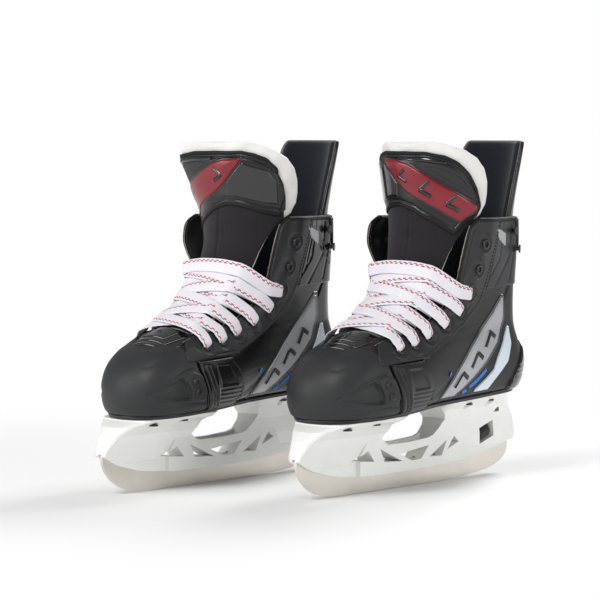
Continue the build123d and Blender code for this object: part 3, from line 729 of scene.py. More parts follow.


# Columns: name, colour, roughness, pebble scale, pebble bump, colour drift, other arguments, among
# them the strength of the painted highlight on ridges.
PLASTICS = [
    ("cap", (0.020, 0.0205, 0.022), 0.5, 1500, 0.25, 0.12, dict(specular=0.4, ridge_highlight=0.15)),
    ("quarter_gloss", (0.006, 0.006, 0.0065), 0.2, 1600, 0.05, 0.15,
     dict(coat=0.25, specular=0.45)),
    ("quarter", (0.011, 0.011, 0.012), 0.4, 2200, 0.10, 0.15, dict(specular=0.4, ridge_highlight=0.1)),
    ("bumper", (0.009, 0.009, 0.010), 0.3, 1800, 0.12, 0.15, dict(specular=0.45, ridge_highlight=0.15)),
    ("facing", (0.019, 0.019, 0.021), 0.45, 1300, 0.35, 0.18, dict(specular=0.4, ridge_highlight=0.12)),
    ("ankle", (0.020, 0.0205, 0.023), 0.4, 2000, 0.15, 0.12, dict(specular=0.4, ridge_highlight=0.15)),
    ("gloss", (0.004, 0.004, 0.0045), 0.16, 900, 0.02, 0.1, dict(coat=0.6)),
    ("binding", (0.006, 0.006, 0.0065), 0.6, 2600, 0.4, 0.2, dict(specular=0.3)),
    ("silver", (0.42, 0.43, 0.45), 0.34, 1800, 0.08, 0.06, dict(metallic=0.45)),
    ("pale_band", (0.66, 0.74, 0.82), 0.30, 1800, 0.06, 0.05, dict(coat=0.3)),
    ("blue_line", (0.03, 0.22, 0.72), 0.35, 1800, 0.05, 0.1, {}),
    ("tendon_band", (0.40, 0.41, 0.43), 0.4, 1800, 0.1, 0.08, dict(metallic=0.3)),
    ("badge_red", (0.20, 0.002, 0.010), 0.3, 1500, 0.04, 0.15, dict(coat=0.3, metallic=0.1)),
    ("holder_white", (0.86, 0.865, 0.825), 0.32, 700, 0.03, 0.03, dict(coat=0.15)),
    ("dial_black", (0.012, 0.012, 0.012), 0.4, 1500, 0.2, 0.2, {}),
    ("thread", (0.02, 0.02, 0.022), 0.7, 3500, 0.6, 0.3, {}),
    ("fray", (0.20, 0.18, 0.16), 0.9, 1200, 0.9, 0.6, {}),
    ("rivet_black", (0.02, 0.02, 0.021), 0.35, 1200, 0.1, 0.2, {}),
    ("eyelet_black", (0.014, 0.014, 0.015), 0.3, 900, 0.05, 0.1, dict(coat=0.2)),
]
for *columns, others in PLASTICS:
    plastic(*columns, **others)
felt("felt", (0.80, 0.79, 0.76))
cloth("liner", (0.006, 0.008, 0.014), scale=2600, rough=0.9, bump=0.35, fuzz=0.25, drift=0.3)
cloth("tongue_cloth", (0.012, 0.010, 0.013),
      scale=3000, rough=0.75, bump=0.35, fuzz=0.15, drift=0.25)
cloth("footbed_cloth", (0.10, 0.10, 0.11), scale=1500, rough=0.9, bump=0.5, fuzz=0.3, drift=0.3)
lace_weave("lace")
steel("runner_steel", (0.78, 0.735, 0.675), rough=0.3)
steel("eyelet_ring", (0.55, 0.55, 0.56), rough=0.22)
steel("hook_steel", (0.45, 0.45, 0.46), rough=0.35)


# ---------------------------------------------------------------- boot shell
def quarter(side):
    """Shell wrapping the heel, matt outside and glossy inside, with moulded creases."""
    sheet = heel_wrap(0.02, TOP, quarter_edge, 150, 400)
    relief = sheet.lines(
        ([(-20, 74), (20, 96), (60, 128), (92, 168)], 3.0, -0.5),
        ([(-8, 70), (40, 100), (78, 138), (100, 178)], 1.3, -0.7),
        ([(60, 178), (84, 190), (112, 199), (126, 200)], 1.2, -0.8))
    mesh = sheet.panel(base=-3.0, thick=3.0, corner=1.5, under=-3.2, relief=relief)
    add_piece(side, "quarter_surface", mesh, "quarter", minus_x_material="quarter_gloss",
              replaces=["quarter_shell"], slot="boot_shell")


def toe_cap(side):
    """Cap wrapping the toe, with a sunken wedge and a raised pad on each flank."""
    sheet = toe_wrap(0.0, 8.2, cap_edge, 150, 380)
    wedge = [(-116, 85), (-104, 92.5), (-89, 98.5), (-84, 93), (-81, 86), (-81, 80.5),
             (-95, 80.5)]
    pad = [(-86.5, 100.5), (-78, 103.5), (-66, 99), (-62.5, 86), (-66, 79), (-80, 79.5),
           (-83, 90)]
    relief = (1.3 * sheet.inside(pad, 0.9)
              - 2.4 * sheet.inside(wedge, 0.8) * np.clip((sheet.y + 118) / 30, 0, 1))
    relief += sheet.lines(
        ([(-116, 86), (-100, 97.5), (-86, 103.5), (-76, 106)], 0.9, -0.8),
        ([(-112, 80), (-90, 78), (-64, 77)], 1.0, -0.7),
        ([(-112, 108), (-92, 117), (-80, 121)], 1.4, -0.35),
        (wedge + wedge[:1], 0.8, -0.7),
        (pad + pad[:1], 0.8, -0.6),
        ([(-74, 107), (-67, 96), (-63, 86)], 2.2, 0.5))
    mesh = sheet.panel(base=-2.8, thick=3.7, corner=2.4, under=-3.0, relief=relief)
    add_piece(side, "toe_cap_surface", mesh, "cap", replaces=["toe_cap"], slot="toe_cap")


def cap_welt_and_studs(side):
    """Two studs on each flank of the cap, and a round welt along its foot."""
    profile = [(3.4, -1.5), (3.4, 0.1), (3.2, 0.45), (2.8, 0.62), (1.2, 0.75), (0.02, 0.78)]
    around = 24
    meshes = []
    for flank in FLANKS:
        for y, z in ((-77.0, 95.0), (-73.5, 86.0)):
            centre, normal = on_boot(y, z, flank, lift=2.5)
            meshes.append((turned_points(centre, normal, profile, around),
                           capped_faces(len(profile), around)))
    foot = boot_point(0.12, np.linspace(-7.6, 7.6, 120))
    outward = unit((foot - (0, -40, 68)) * (1, 1, 0))
    meshes.append(tube(foot - outward * 0.2 - UP * 0.9, 1.35, 10))
    add_piece(side, "cap_welt_and_studs", merge(meshes), "bumper", sharp_angle=50)


def throat_gusset(side):
    """Ribbed cloth closing the foot of the throat."""
    sheet = toe_wrap(level_at(-80, 117.0), 7.6, gusset_edge, 40, 90)
    ribs = 0.35 * np.sin(sheet.y / 1.6) * sheet.fade(3)
    add_piece(side, "throat_gusset", sheet.slab(-2.6 + ribs, -3.6), "tongue_cloth")


# ---------------------------------------------------------------- flank overlays
bumper_front = edge_line([(-54.5, 60), (-55.6, 67), (-61, 85), (-68, 103), (-70, 114)])
bumper_rear = edge_line([(-36, 60), (-29, 67), (-17, 76), (-10.5, 84), (-13, 93), (-20, 103),
                         (-28, 111)])


def bumper(side, flank):
    sheet = flank_sheet(flank, 0.05, level_at(-48, 112.5), bumper_front, bumper_rear, 70, 70)
    relief = -1.0 * sheet.inside([(-49, 106), (-34, 106), (-22.5, 90), (-44, 90)], 1.0)
    relief += sheet.lines(
        ([(-64, 107), (-57, 90), (-51.5, 72)], 0.9, -1.1),
        ([(-59, 107), (-52.5, 90), (-47, 72)], 0.9, -1.1),
        *[([(-46, z), (-16, z + 0.8)], 0.75, -0.9) for z in (86.5, 83.0, 79.5, 76.0)],
        ([(-46, 74), (-49.5, 88), (-52, 107)], 1.1, 0.5))
    mesh = sheet.panel(base=-0.6, thick=2.7, corner=1.8, under=-1.0, relief=relief)
    add_piece(side, f"bumper_{FLANKS[flank]}", mesh, "bumper" if flank > 0 else "quarter_gloss",
              replaces=["side_bumpers"] if flank > 0 else [], slot="bumper")


def facing(side, flank):
    """Eyelet strip beside the throat, dished round each eyelet."""
    sheet = flank_sheet(flank, level_at(-40, 113.4), TOP, throat_edge, facing_edge, 150, 70)
    relief = sheet.lines(([(-66, 121), (-50, 115.5), (-24, 117.5)], 0.8, -0.4),
                         ([(24, 142), (27, 152), (40, 163)], 0.8, -0.5))
    for y, z in EYELETS:
        radius = np.hypot(sheet.y - y, sheet.z - z)
        relief += 0.95 * bell(radius - 7.4, 0.9) - 0.5 * bell(radius, 5.4, power=4)
    mesh = sheet.panel(base=-0.5, thick=2.3, corner=1.3, under=-0.8, relief=relief)
    add_piece(side, f"facing_{FLANKS[flank]}", mesh, "facing", slot="facing",
              replaces=["facing_lateral" if flank > 0 else "facing_medial"])


def throat_edges(side, flank):
    """Binding and a thin frayed line along the facing's throat edge."""
    binding = flank_path([(y - 0.1, z + 0.1) for y, z in THROAT[3:]], flank, lift=-0.4)
    add_piece(side, f"throat_edge_{FLANKS[flank]}", tube(binding, 1.25, 8), "binding")
    fray = flank_path([(y - 1.0, z + 0.9) for y, z in THROAT[3:-1]], flank, lift=-1.4)
    add_piece(side, f"throat_fray_{FLANKS[flank]}", tube(fray, 0.55, 6), "fray")


def ankle(side, flank):
    sheet = flank_sheet(flank, level_at(70, 170.0), TOP, lambda level: facing_edge(level) + 0.03,
                        lambda level: HEEL, 70, 80)
    grooves = [([(60, 178), (76, 196), (80, 228)], 1.0, -0.6),
               ([(72, 172), (94, 198), (97, 226)], 1.0, -0.6),
               ([(96, 176), (104, 206), (118, 222)], 1.0, -0.6)]
    if flank < 0:
        grooves += [([(67 + 6 * i, 186 + 7 * i), (74 + 6 * i, 222 - 3 * i),
                      (106 + 2 * i, 190 + 9 * i)], 1.3, -0.7) for i in range(2)]
    mesh = sheet.panel(base=-0.6, thick=1.9, corner=1.4, under=-0.9,
                       relief=np.maximum(sheet.lines(*grooves), -0.85))
    add_piece(side, f"ankle_{FLANKS[flank]}", mesh, "ankle" if flank > 0 else "quarter_gloss",
              replaces=["ankle_panel"] if flank > 0 else [], slot="ankle_panel")


# Straight-sided overlays: front and rear (y, z) lines, (y, z) that set the bottom and top
# levels, rows and columns.
OVERLAYS = {
    "silver_flash": (
        [(3.5, 77), (7.2, 82), (23, 102), (39.8, 120.9), (56, 135.5), (71.9, 148.0),
         (86.5, 162.5)],
        [(19.6, 77.5), (33.2, 86.2), (60.6, 106.0), (79.2, 122.9), (89.1, 143.4),
         (87.5, 162.8)],
        (18, 78.8), (86, 161.0), 70, 46),
    "flash_edge": (
        [(1.0, 77), (4.7, 82), (20.5, 103), (37.8, 122.9), (54, 137.5), (70, 150.0),
         (86.0, 165.5)],
        [(22.6, 77.5), (36.5, 85.6), (63.6, 104.4), (82.2, 121.5), (92.1, 143), (89.5, 165.8)],
        (18, 78.4), (86, 164.0), 60, 40),
    "pale_band": (
        [(50, 79), (50.8, 83.2), (73.9, 99.0), (79, 109.1), (88, 122), (95.9, 137)],
        [(66, 79), (71.6, 84.6), (76.2, 89.4), (95.0, 104.9), (100.7, 120.0), (97.5, 137.5)],
        (60, 81.0), (96, 135.5), 60, 40),
    "collar_flash": (
        [(84.2, 206.4), (71.3, 212.6), (62.8, 222.3), (62.6, 223.5)],
        [(85.4, 206.4), (85.2, 212), (84.2, 217.6), (63.5, 223.5)],
        (84, 206.8), (63, 222.3), 40, 40),
}


def overlay_sheet(name, flank):
    front, rear, bottom, top, rows, columns = OVERLAYS[name]
    return flank_sheet(flank, level_at(*bottom), level_at(*top), edge_line(front, False),
                       edge_line(rear, False), rows, columns)


def flat_lines(lines, flank, lift, step, half_width, width_way, smoothed):
    """Flattened tubes along side-view lines."""
    return merge([tube(resample(flank_path(line, flank, lift, smoothed), step), half_width, 8,
                       half_depth=0.5, width_ways=width_way)[:2] for line in lines])


def flash(side, flank):
    """Silver flash on the heel flank, its dark outline and three chevrons."""
    tag = FLANKS[flank]
    sheet = overlay_sheet("silver_flash", flank)
    mesh = sheet.panel(base=-0.3, thick=1.4, corner=1.0, under=-0.6,
                       relief=-0.35 * bell(sheet.edge - 2.2, 0.5))
    add_piece(side, f"silver_flash_{tag}", mesh, "silver")
    mesh = overlay_sheet("flash_edge", flank).panel(base=-0.4, thick=0.9, corner=0.7, under=-0.7)
    add_piece(side, f"flash_edge_{tag}", mesh, "gloss")
    chevrons = [[(y - 3, z - 6.5), (y + 5, z + 6), (y + 13, z + 1.0)]
                for y, z in ((23, 93), (43, 109), (62, 126))]
    mesh = flat_lines(chevrons, flank, lift=1.2, step=1.2, half_width=2.1,
                      width_way=(0, 0.6, 0.8), smoothed=False)
    add_piece(side, f"flash_marks_{tag}", mesh, "bumper")


def bands(side, flank):
    """Pale band behind the flash, blue lines, and a grey band at the rear of the collar."""
    tag = FLANKS[flank]
    mesh = overlay_sheet("pale_band", flank).panel(base=-0.3, thick=1.9, corner=1.2, under=-0.6)
    add_piece(side, f"pale_band_{tag}", mesh, "pale_band",
              replaces=["heel_band"] if flank > 0 else [], slot="heel_band")
    lines = [[(41, 85.5), (52, 92), (62, 99.5)], [(33, 81.0), (38, 83.5)], [(10.0, 97), (11, 101)]]
    mesh = flat_lines(lines, flank, lift=0.5, step=1.5, half_width=1.5,
                      width_way=(0, 0.5, 0.8), smoothed=True)
    add_piece(side, f"blue_lines_{tag}", mesh, "blue_line")
    mesh = overlay_sheet("collar_flash", flank).panel(base=0.8, thick=1.1, corner=0.8, under=0.6)
    add_piece(side, f"collar_flash_{tag}", mesh, "tendon_band")


def flanks(side):
    for flank in FLANKS:
        for overlay in (bumper, facing, throat_edges, ankle, flash, bands):
            overlay(side, flank)


# ---------------------------------------------------------------- heel, collar and inside
def heel_cup(side):
    edge = edge_line([(99, 76), (101, 84), (110, 97), (121, 112), (133, 126), (145, 134)])
    sheet = heel_wrap(level_at(110, 79.6), level_at(132, 126), edge, 60, 110)
    grooves = sheet.lines(*[([(100, z), (150, z + 6)], 0.8, -0.6) for z in (90, 94, 98)])
    mesh = sheet.panel(base=-0.6, thick=3.0, corner=2.0, under=-1.0, relief=grooves)
    add_piece(side, "heel_cup", mesh, "gloss", replaces=["heel_counter"], slot="heel_counter")


def collar_binding(side):
    """Padded roll along the top edge, round the heel from throat to throat."""
    start = throat_edge(12.98) + 0.05
    path = boot_point(TOP, np.linspace(start, RING - start, 160)) - UP * 0.6
    add_piece(side, "collar_binding", tube(path, 2.3, 12), "binding")


def ankle_lining(side):
    """Quilted pad inside the wall."""
    edge = edge_line([(-8, 89), (-8, 120), (6, 130), (24, 141), (44, 157), (54, 177), (62, 203),
                      (66, 226)], smoothed=False)
    sheet = heel_wrap(level_at(60, 92), 12.92, edge, 70, 110)
    quilt = 0.28 * np.cos(sheet.z / 7.5 * math.pi) * sheet.fade(12)
    mesh = sheet.slab(-3.3, -3.5 - sheet.rounded(4.3, 6.0) - quilt)
    add_piece(side, "ankle_lining", mesh, "liner", replaces=["ankle_liner"], slot="liner")


def footbed(side):
    """Pad over the sole: rings of the sole outline, each shrunk and raised."""
    around, centre_y = 96, 8
    # Columns: share of the sole's width, rise above the sole.
    profile = [(0.80, 6.9), (0.83, 7.4), (0.835, 9.0), (0.82, 10.2), (0.74, 10.6),
               (0.45, 10.3), (0.12, 10.2), (0.01, 10.2)]
    sole_x, sole_y, _ = boot_point(0.0, np.linspace(0, RING, around + 1)[:-1]).T
    rings = []
    for share, rise in profile:
        share_y = 0.5 + 0.5 * share if share > 0.7 else share * 1.28
        y = (sole_y - centre_y) * share_y + centre_y
        rings.append(np.stack([sole_x * share, y, height(0.0, y) + rise], -1))
    mesh = np.concatenate(rings), capped_faces(len(rings), around)
    add_piece(side, "footbed_pad", mesh, "footbed_cloth", replaces=["footbed"], slot="footbed")


def eyelets(side):
    """A dark ring on the outside of each hole and a bright washer on the inside."""
    profile = [(2.3, -3.2), (2.3, 0.4), (2.6, 0.95), (3.3, 1.15), (4.0, 0.9), (4.4, 0.2),
               (4.4, -0.4), (3.0, -0.6), (3.0, -3.2)]
    around = 28
    last = (len(profile) - 1) * around
    closing = [(last + j, last + (j + 1) % around, (j + 1) % around, j) for j in range(around)]
    for name, lift, material, way in (("outer", 1.6, "eyelet_black", 1),
                                      ("inner", -5.2, "eyelet_ring", -1)):
        faces = grid_faces(len(profile), around, wrap=True, flip=way < 0)
        faces += [face[::way] for face in closing]
        facing_way = [(radius, rise * way) for radius, rise in profile]
        meshes = [(turned_points(*on_boot(y, z, flank, lift), facing_way, around), faces)
                  for flank in FLANKS for y, z in EYELETS]
        add_piece(side, f"eyelets_{name}", merge(meshes), material,
                  replaces=["eyelets"] if way > 0 else [], slot="eyelet")


# ---------------------------------------------------------------- tongue
# Middle line of the front face. Columns: y, z, lean in degrees, radius across.
TONGUE = [
    (-58.0, 138.5, 27.0, 42.0), (-40.0, 149.0, 33.0, 40.0), (-22.0, 163.0, 42.0, 40.0),
    (-9.0, 179.0, 56.0, 40.0), (-1.0, 195.0, 70.0, 41.0), (3.4, 212.0, 82.0, 43.0),
    (4.6, 235.0, 88.0, 47.0), (4.0, 248.0, 90.0, 50.5), (3.0, 262.0, 92.0, 54.0),
    (1.0, 276.0, 95.3, 56.0), (0.0, 284.0, 97.0, 57.0), (-1.2, 292.0, 98.2, 57.6),
    (-2.0, 297.0, 99.0, 58.0)]
# Height of the middle line and half width round the face.
TONGUE_HALF = [
    (138.5, 22), (149, 25), (163, 28.5), (179, 32.5), (195, 36.5), (205, 39), (215, 44),
    (226, 53.5), (231, 60.0), (236, 69.0), (244, 74.5), (252, 76.0), (262, 76), (271, 73.5),
    (279, 67), (286, 57), (291, 46.5), (294.5, 35), (297, 24)]


def through(*points):
    """Straight-line function through (x, value) points."""
    known, values = zip(*points)
    return lambda x: np.interp(x, known, values)


tongue_half = through(*TONGUE_HALF)
tongue_row = through(*[(row[1], i) for i, row in enumerate(TONGUE)])


def tongue_point(z, x, lift=0.0):
    """Point x mm round the face from where its middle line is at height z, lifted off it."""
    z, x = np.broadcast_arrays(np.asarray(z, float), np.asarray(x, float))
    rows = smooth(TONGUE, tongue_row(z.ravel())).reshape(z.shape + (4,))
    middle_y, middle_z, lean, radius = np.moveaxis(rows, -1, 0)
    lean, turn = np.radians(lean), x / radius
    back = radius - (radius + lift) * np.cos(turn)
    return np.stack([(radius + lift) * np.sin(turn), middle_y + np.sin(lean) * back,
                     middle_z - np.cos(lean) * back], -1)


def tongue_sheet(z, x):
    points = tongue_point(z, x)
    return Sheet(points, unit(tongue_point(z, x, 1.0) - points))


def tongue_rows(heights, half_widths, columns, share):
    """Grids of z and x for rows with given half widths."""
    x = half_widths[:, None] * (2 * bunched(columns, share) - 1)
    return heights[:, None] + 0 * x, x


def tongue_columns(x_start, x_end, low, high, columns, rows):
    """Grids of z and x between two functions of x."""
    x = x_start + (x_end - x_start) * bunched(columns, 0.7)
    bottom = low(x)
    z = bottom + (high(x) - bottom) * bunched(rows, 0.7)[:, None]
    return z, np.tile(x, (rows, 1))


# Heights against x of the plate's edges and of the red band that crosses it.
plate_top = through(
    (-60, 250), (-58.5, 261), (-54, 270.5), (-46, 279), (-36, 284), (-25, 286.6), (0, 287.2),
    (20, 286.4), (36, 282.5), (47, 276), (55, 267), (60.5, 256), (63.5, 244))
plate_diagonal = through((-60, 238), (-54, 235), (-40, 237), (-20, 242.5), (-8, 243.5), (6, 239),
                         (30, 226), (46, 218), (70, 205))
outer_limit = through((0, 130), (30, 205), (35, 215), (45, 226), (51, 231), (60, 236), (64, 242))
band_top = through((-25, 282.8), (-8, 282), (3, 279.2), (30, 262), (60.5, 243))
band_diagonal = through((-25, 281), (-15, 270), (-6.5, 261), (1.5, 254.5), (20, 243.5),
                        (40, 232), (46, 229))
cheek_shoulder = through((-53, 262), (-46, 271), (-25, 279))


def plate_bottom(x):
    return np.maximum(plate_diagonal(x), np.where(x > 0, outer_limit(x), 0))


def band_bottom(x):
    return np.maximum(band_diagonal(x), np.where(x > 40, outer_limit(x) + 3.0, 0))


def tongue_body(side):
    """Thick felt, its black cloth face, and two rows of stitches down the middle."""
    crown = 286 + 11 * np.sin(np.linspace(0, math.pi / 2, 22))[1:]
    heights = np.concatenate([np.linspace(138.5, 286, 110), crown])
    z, x = tongue_rows(heights, tongue_half(heights), 90, 0.75)
    sheet = tongue_sheet(z, x)
    thick = np.interp(z, [138, 160, 210, 250, 297], [3.0, 3.8, 4.2, 4.6, 4.8])
    swell = sheet.rounded(1, 5.0)
    lumps = sheet.fade(8) * (0.45 * np.sin(x / 7.0 + z * 0.11) * np.cos(z / 8.3)
                             + 0.25 * np.sin(z / 3.1 + x / 4.3))
    mesh = sheet.slab(-thick + swell * thick + lumps, -thick - swell * (thick - 1.0))
    add_piece(side, "tongue_felt", mesh, "felt", body="tongue",
              replaces=["tongue_lower", "tongue_upper"], slot="tongue_felt")

    heights = np.linspace(139.3, 262, 100)
    z, x = tongue_rows(heights, np.minimum(tongue_half(heights) - 1.2, 59.0), 100, 0.7)
    sheet = tongue_sheet(z, x)
    crease = -1.0 * bell(x - 1.0, 1.2)
    seam = -0.9 * bell(z - 236 + (x - 36) * 1.25, 2.2) * (x > 4)
    wrinkles = 0.55 * np.sin(z / 5.2 + x * 0.05) * bell(z - 208, 12)
    mesh = sheet.panel(base=0.2, thick=1.5, corner=1.4, under=-1.4,
                       relief=(crease + seam + wrinkles) * sheet.fade(2.0))
    add_piece(side, "tongue_cloth", mesh, "tongue_cloth", body="tongue")

    meshes = []
    for x in (-1.6, 3.6):
        row = tongue_point(np.linspace(150, 237, 60), x, 1.75)
        meshes += stitches(row, pitch=3.2, length=2.2, radius=0.3)
    add_piece(side, "tongue_seam", merge(meshes), "thread", body="tongue")


def tongue_plate(side):
    """Moulded shield on the upper tongue with binding, stitches and raised panels."""
    def add(name, mesh, material, **others):
        add_piece(side, name, mesh, material, body="tongue_top", **others)

    sheet = tongue_sheet(*tongue_columns(-60, 63.5, plate_bottom, plate_top, 130, 70))
    turned_edge = -0.9 * bell(sheet.edge - 3.6, 0.8) + 0.35 * np.clip((sheet.edge - 4.5) / 3, 0, 1)
    mesh = sheet.panel(base=1.3, thick=1.9, corner=2.0, under=-0.9,
                       relief=turned_edge * sheet.fade(2.0))
    add("tongue_plate_moulding", mesh, "bumper", replaces=["tongue_plate"], slot="tongue_plate")

    x = np.linspace(-54, 63.5, 160)
    top = tongue_point(plate_top(x) + 0.6, x, 1.7)
    bottom = tongue_point(plate_bottom(x) - 0.4, x, 1.5)
    loop = np.concatenate([top, bottom[::-1], top[:1]])
    add("plate_binding", tube(resample(loop, 1.6), 1.75, 10), "binding")
    row = tongue_point(plate_top(x) - 2.2, x * 0.965, 3.7)
    add("plate_stitching", merge(stitches(row, pitch=3.1, length=2.1, radius=0.42)), "thread")

    # Glossy cheek on the inner side of the band.
    sheet = tongue_sheet(*tongue_columns(
        -53, -9, lambda x: plate_bottom(x) + 7.0,
        lambda x: np.where(x > -25, band_bottom(x) - 2.0, cheek_shoulder(x)), 50, 30))
    add("plate_cheek", sheet.panel(base=3.0, thick=1.3, corner=1.6, under=1.8), "gloss")

    # Dark grey panel above the band, with a line inside its edge.
    sheet = tongue_sheet(*tongue_columns(
        13, 58.5, lambda x: band_top(x) + 3.0,
        lambda x: np.maximum(plate_top(x) - 6.5, band_top(x) + 3.4), 60, 40))
    mesh = sheet.panel(base=2.9, thick=1.0, corner=1.2, under=1.7,
                       relief=-0.7 * bell(sheet.edge - 4.2, 0.6) * sheet.fade(2.0))
    add("plate_window", mesh, "cap")

    # Glossy bar along the top of the plate, tapered at both ends.
    x = np.linspace(4, 37, 40)
    half_widths = 1.7 * np.sin(np.linspace(0.25, math.pi - 0.25, 40)) ** 0.4
    mesh = tube(tongue_point(plate_top(x) - 4.2, x, 4.1), half_widths, 12,
                half_depth=0.9, width_ways=(0, 0.1, 1.0))
    add("plate_slot_bar", mesh, "gloss")


def tongue_band(side):
    """Red band with a raised spine, its black surround and three arrow inlays."""
    def band_grid(grow):
        return tongue_columns(
            -25 - grow, 60.2 + grow * 0.6, lambda x: band_bottom(x) - grow,
            lambda x: np.maximum(band_top(x) + grow, band_bottom(x) - grow + 0.5), 120, 40)

    mesh = tongue_sheet(*band_grid(1.5)).panel(base=2.5, thick=1.2, corner=1.2, under=1.0)
    add_piece(side, "badge_surround", mesh, "gloss", body="tongue_top", sharp_angle=40)
    z, x = band_grid(0.0)
    sheet = tongue_sheet(z, x)
    across = (z - band_bottom(x)) / np.maximum(band_top(x) - band_bottom(x), 1.0)
    spine_place = 0.68
    spine = 0.9 * np.clip(1 - np.abs(across - spine_place) / spine_place, 0, 1)
    mesh = sheet.panel(base=3.2, thick=1.5, corner=1.2, under=1.7, relief=spine * sheet.fade(2.0))
    add_piece(side, "tongue_badge_band", mesh, "badge_red", body="tongue_top", sharp_angle=40,
              replaces=["tongue_badge"], slot="badge")

    meshes = []
    t = np.linspace(0, 2, 26)
    for start_x, scale in ((-4.0, 0.85), (16.0, 1.0), (37.0, 1.0)):
        middle_z = (band_bottom(start_x + 2) + band_top(start_x + 2)) / 2
        z = middle_z + np.interp(t, [0, 1, 2], [6.2, -0.6, -6.4]) * scale
        x = start_x + np.interp(t, [0, 1, 2], [6.5, -2.5, 7.0]) * scale
        meshes.append(tube(tongue_point(z, x, 5.35), 1.9 * scale, 8,
                           half_depth=0.6, width_ways=(0.4, 0.0, 0.9)))
    add_piece(side, "band_inlays", merge(meshes), "gloss", body="tongue_top")


# ---------------------------------------------------------------- tendon guard
# Columns: z, rearmost y, radius, half angle in degrees.
GUARD = [(228.5, 124.2, 38.4, 76.0), (236, 125.3, 38.5, 73), (245.0, 127.0, 38.8, 70.0),
         (262.0, 131.0, 39.2, 66.0), (280.0, 135.8, 39.6, 61.0), (292, 138.8, 39.9, 57),
         (297.2, 139.8, 40.0, 52.0)]


def guard_sheet(trim):
    """Curved sheet above the heel, trimmed by some mm at each side, and its angles."""
    rows, columns = 60, 70
    stations = smooth(GUARD, np.linspace(0, len(GUARD) - 1, rows))
    z, rear_y, radius, half = stations.T[:, :, None]
    half = np.radians(half)
    angles = half * np.linspace(-1, 1, columns) * (1 - trim / (radius * half))
    sin, cos = np.sin(angles), np.cos(angles)
    points = np.stack([radius * sin, rear_y - radius + radius * cos, z + 0 * angles], -1)
    return Sheet(points, np.stack([sin, cos, 0 * angles], -1)), np.degrees(angles)


def guard(side):
    sheet, angles = guard_sheet(trim=0.0)
    relief = (1.1 * bell(angles, 14.0, power=4) - 0.9 * bell(np.abs(angles) - 20, 3.0)
              - 0.6 * bell(np.abs(angles) - 42, 2.5))
    for z in (240, 246, 252):
        relief -= 0.7 * bell(sheet.z - z, 1.0) * bell(angles, 16.0, power=4)
    mesh = sheet.panel(base=-0.6, thick=1.1, corner=2.0, under=-2.4,
                       relief=relief * sheet.fade(6))
    add_piece(side, "guard_spine", mesh, "bumper", body="guard",
              replaces=["tendon_guard"], slot="tendon_guard")

    sheet, _ = guard_sheet(trim=1.2)
    mesh = sheet.slab(-2.5, -3.0 - sheet.rounded(4.6, 5.0))
    add_piece(side, "guard_padding", mesh, "liner", body="guard",
              replaces=["guard_pad"], slot="liner")

    # Raw edge between spine and padding, up one side, over the top and down the other.
    seam = sheet.points - sheet.normals * 2.7
    path = np.concatenate([seam[:, 0], seam[-1, 1:-1], seam[::-1, -1]])
    add_piece(side, "guard_raw_edge", tube(resample(path, 1.5), 0.65, 7), "fray", body="guard")

    # Saddle round the heel at the guard's foot.
    sheet = heel_wrap(11.35, TOP, through((11.3, 9.5), (12.2, 9.0), (13.0, 8.7)), 40, 110)
    mesh = sheet.panel(base=0.4, thick=2.6, corner=1.8, under=0.2)
    add_piece(side, "guard_saddle", mesh, "quarter", replaces=["guard_base"], slot="guard_base")


# ---------------------------------------------------------------- laces
# Height at which each eyelet row's lace crosses the tongue, and the half width of the lace.
LACE_Z = [138.0, 144.5, 153.5, 163.5, 173.5, 185.0]
LACE_HALF = 6.3


def nearest_on_throat(y, z):
    """Nearest (y, z) on the throat line and the line's direction there."""
    spot = np.array((y, z))
    line = np.array(THROAT[2:], float)
    found = []
    for start, end in zip(line, line[1:]):
        run = end - start
        near = start + np.clip((spot - start) @ run / (run @ run), 0, 1) * run
        found.append((math.hypot(*(spot - near)), near, unit(run)))
    return min(found, key=lambda entry: entry[0])[1:]


def lace_hole(row, flank):
    """An eyelet, the throat edge nearest to it, and the directions between and along them."""
    y, z = EYELETS[row]
    near, slope = nearest_on_throat(y, z)
    centre, normal = on_boot(y, z, flank, 0)
    edge, edge_normal = on_boot(*near, flank, 0)
    out = unit(np.array([0, near[0] - y, near[1] - z]))
    return SimpleNamespace(centre=centre, normal=normal, edge=edge, edge_normal=edge_normal,
                           out=out, slope=np.array([0, *slope]), rim=edge + out * 1.5)


def lace_head(hole):
    """Stations (point, width direction, half width) up out of a hole and over the edge."""
    c, e, normal, out = hole.centre, hole.edge, hole.normal, hole.out
    return [(c - normal * 2.6, hole.slope, 2.0),
            (c + normal * 0.8 - out * 0.6, hole.slope, 3.2),
            (c + normal * 3.0 + out * 1.8, hole.slope, 5.2),
            (c * 0.5 + e * 0.5 + normal * 3.8 + out * 1.0, hole.slope, 6.1),
            (e + hole.edge_normal * 3.3 + out * 1.2, hole.slope, LACE_HALF)]


def lace_tail(hole):
    """Stations diving under the far facing to its hole."""
    return [(hole.edge - hole.edge_normal * 3.0 + hole.out * 3.0, hole.slope, 5.2),
            (hole.edge * 0.6 + hole.centre * 0.4 - hole.normal * 6.6, hole.slope, 4.2)]


def lace_across(shares, start, start_z, end, end_z, lift):
    """Stations over the tongue at shares from 1 to -1, turning down towards the edges."""
    stations = []
    for share in shares:
        z = start_z + (end_z - start_z) * (0.5 - 0.5 * share)
        middle, above = tongue_point(z, 0.0, lift), tongue_point(z + 1.0, 0.0, lift)
        rim = start.rim if share > 0 else end.rim
        drop = 1 - (1 - abs(share) ** 2.5) ** (1 / 2.5)
        point = middle + (rim - middle) * (0, drop, drop * 0.9)
        point[0] = rim[0] * abs(share)
        stations.append((point, above - middle, LACE_HALF))
    return stations


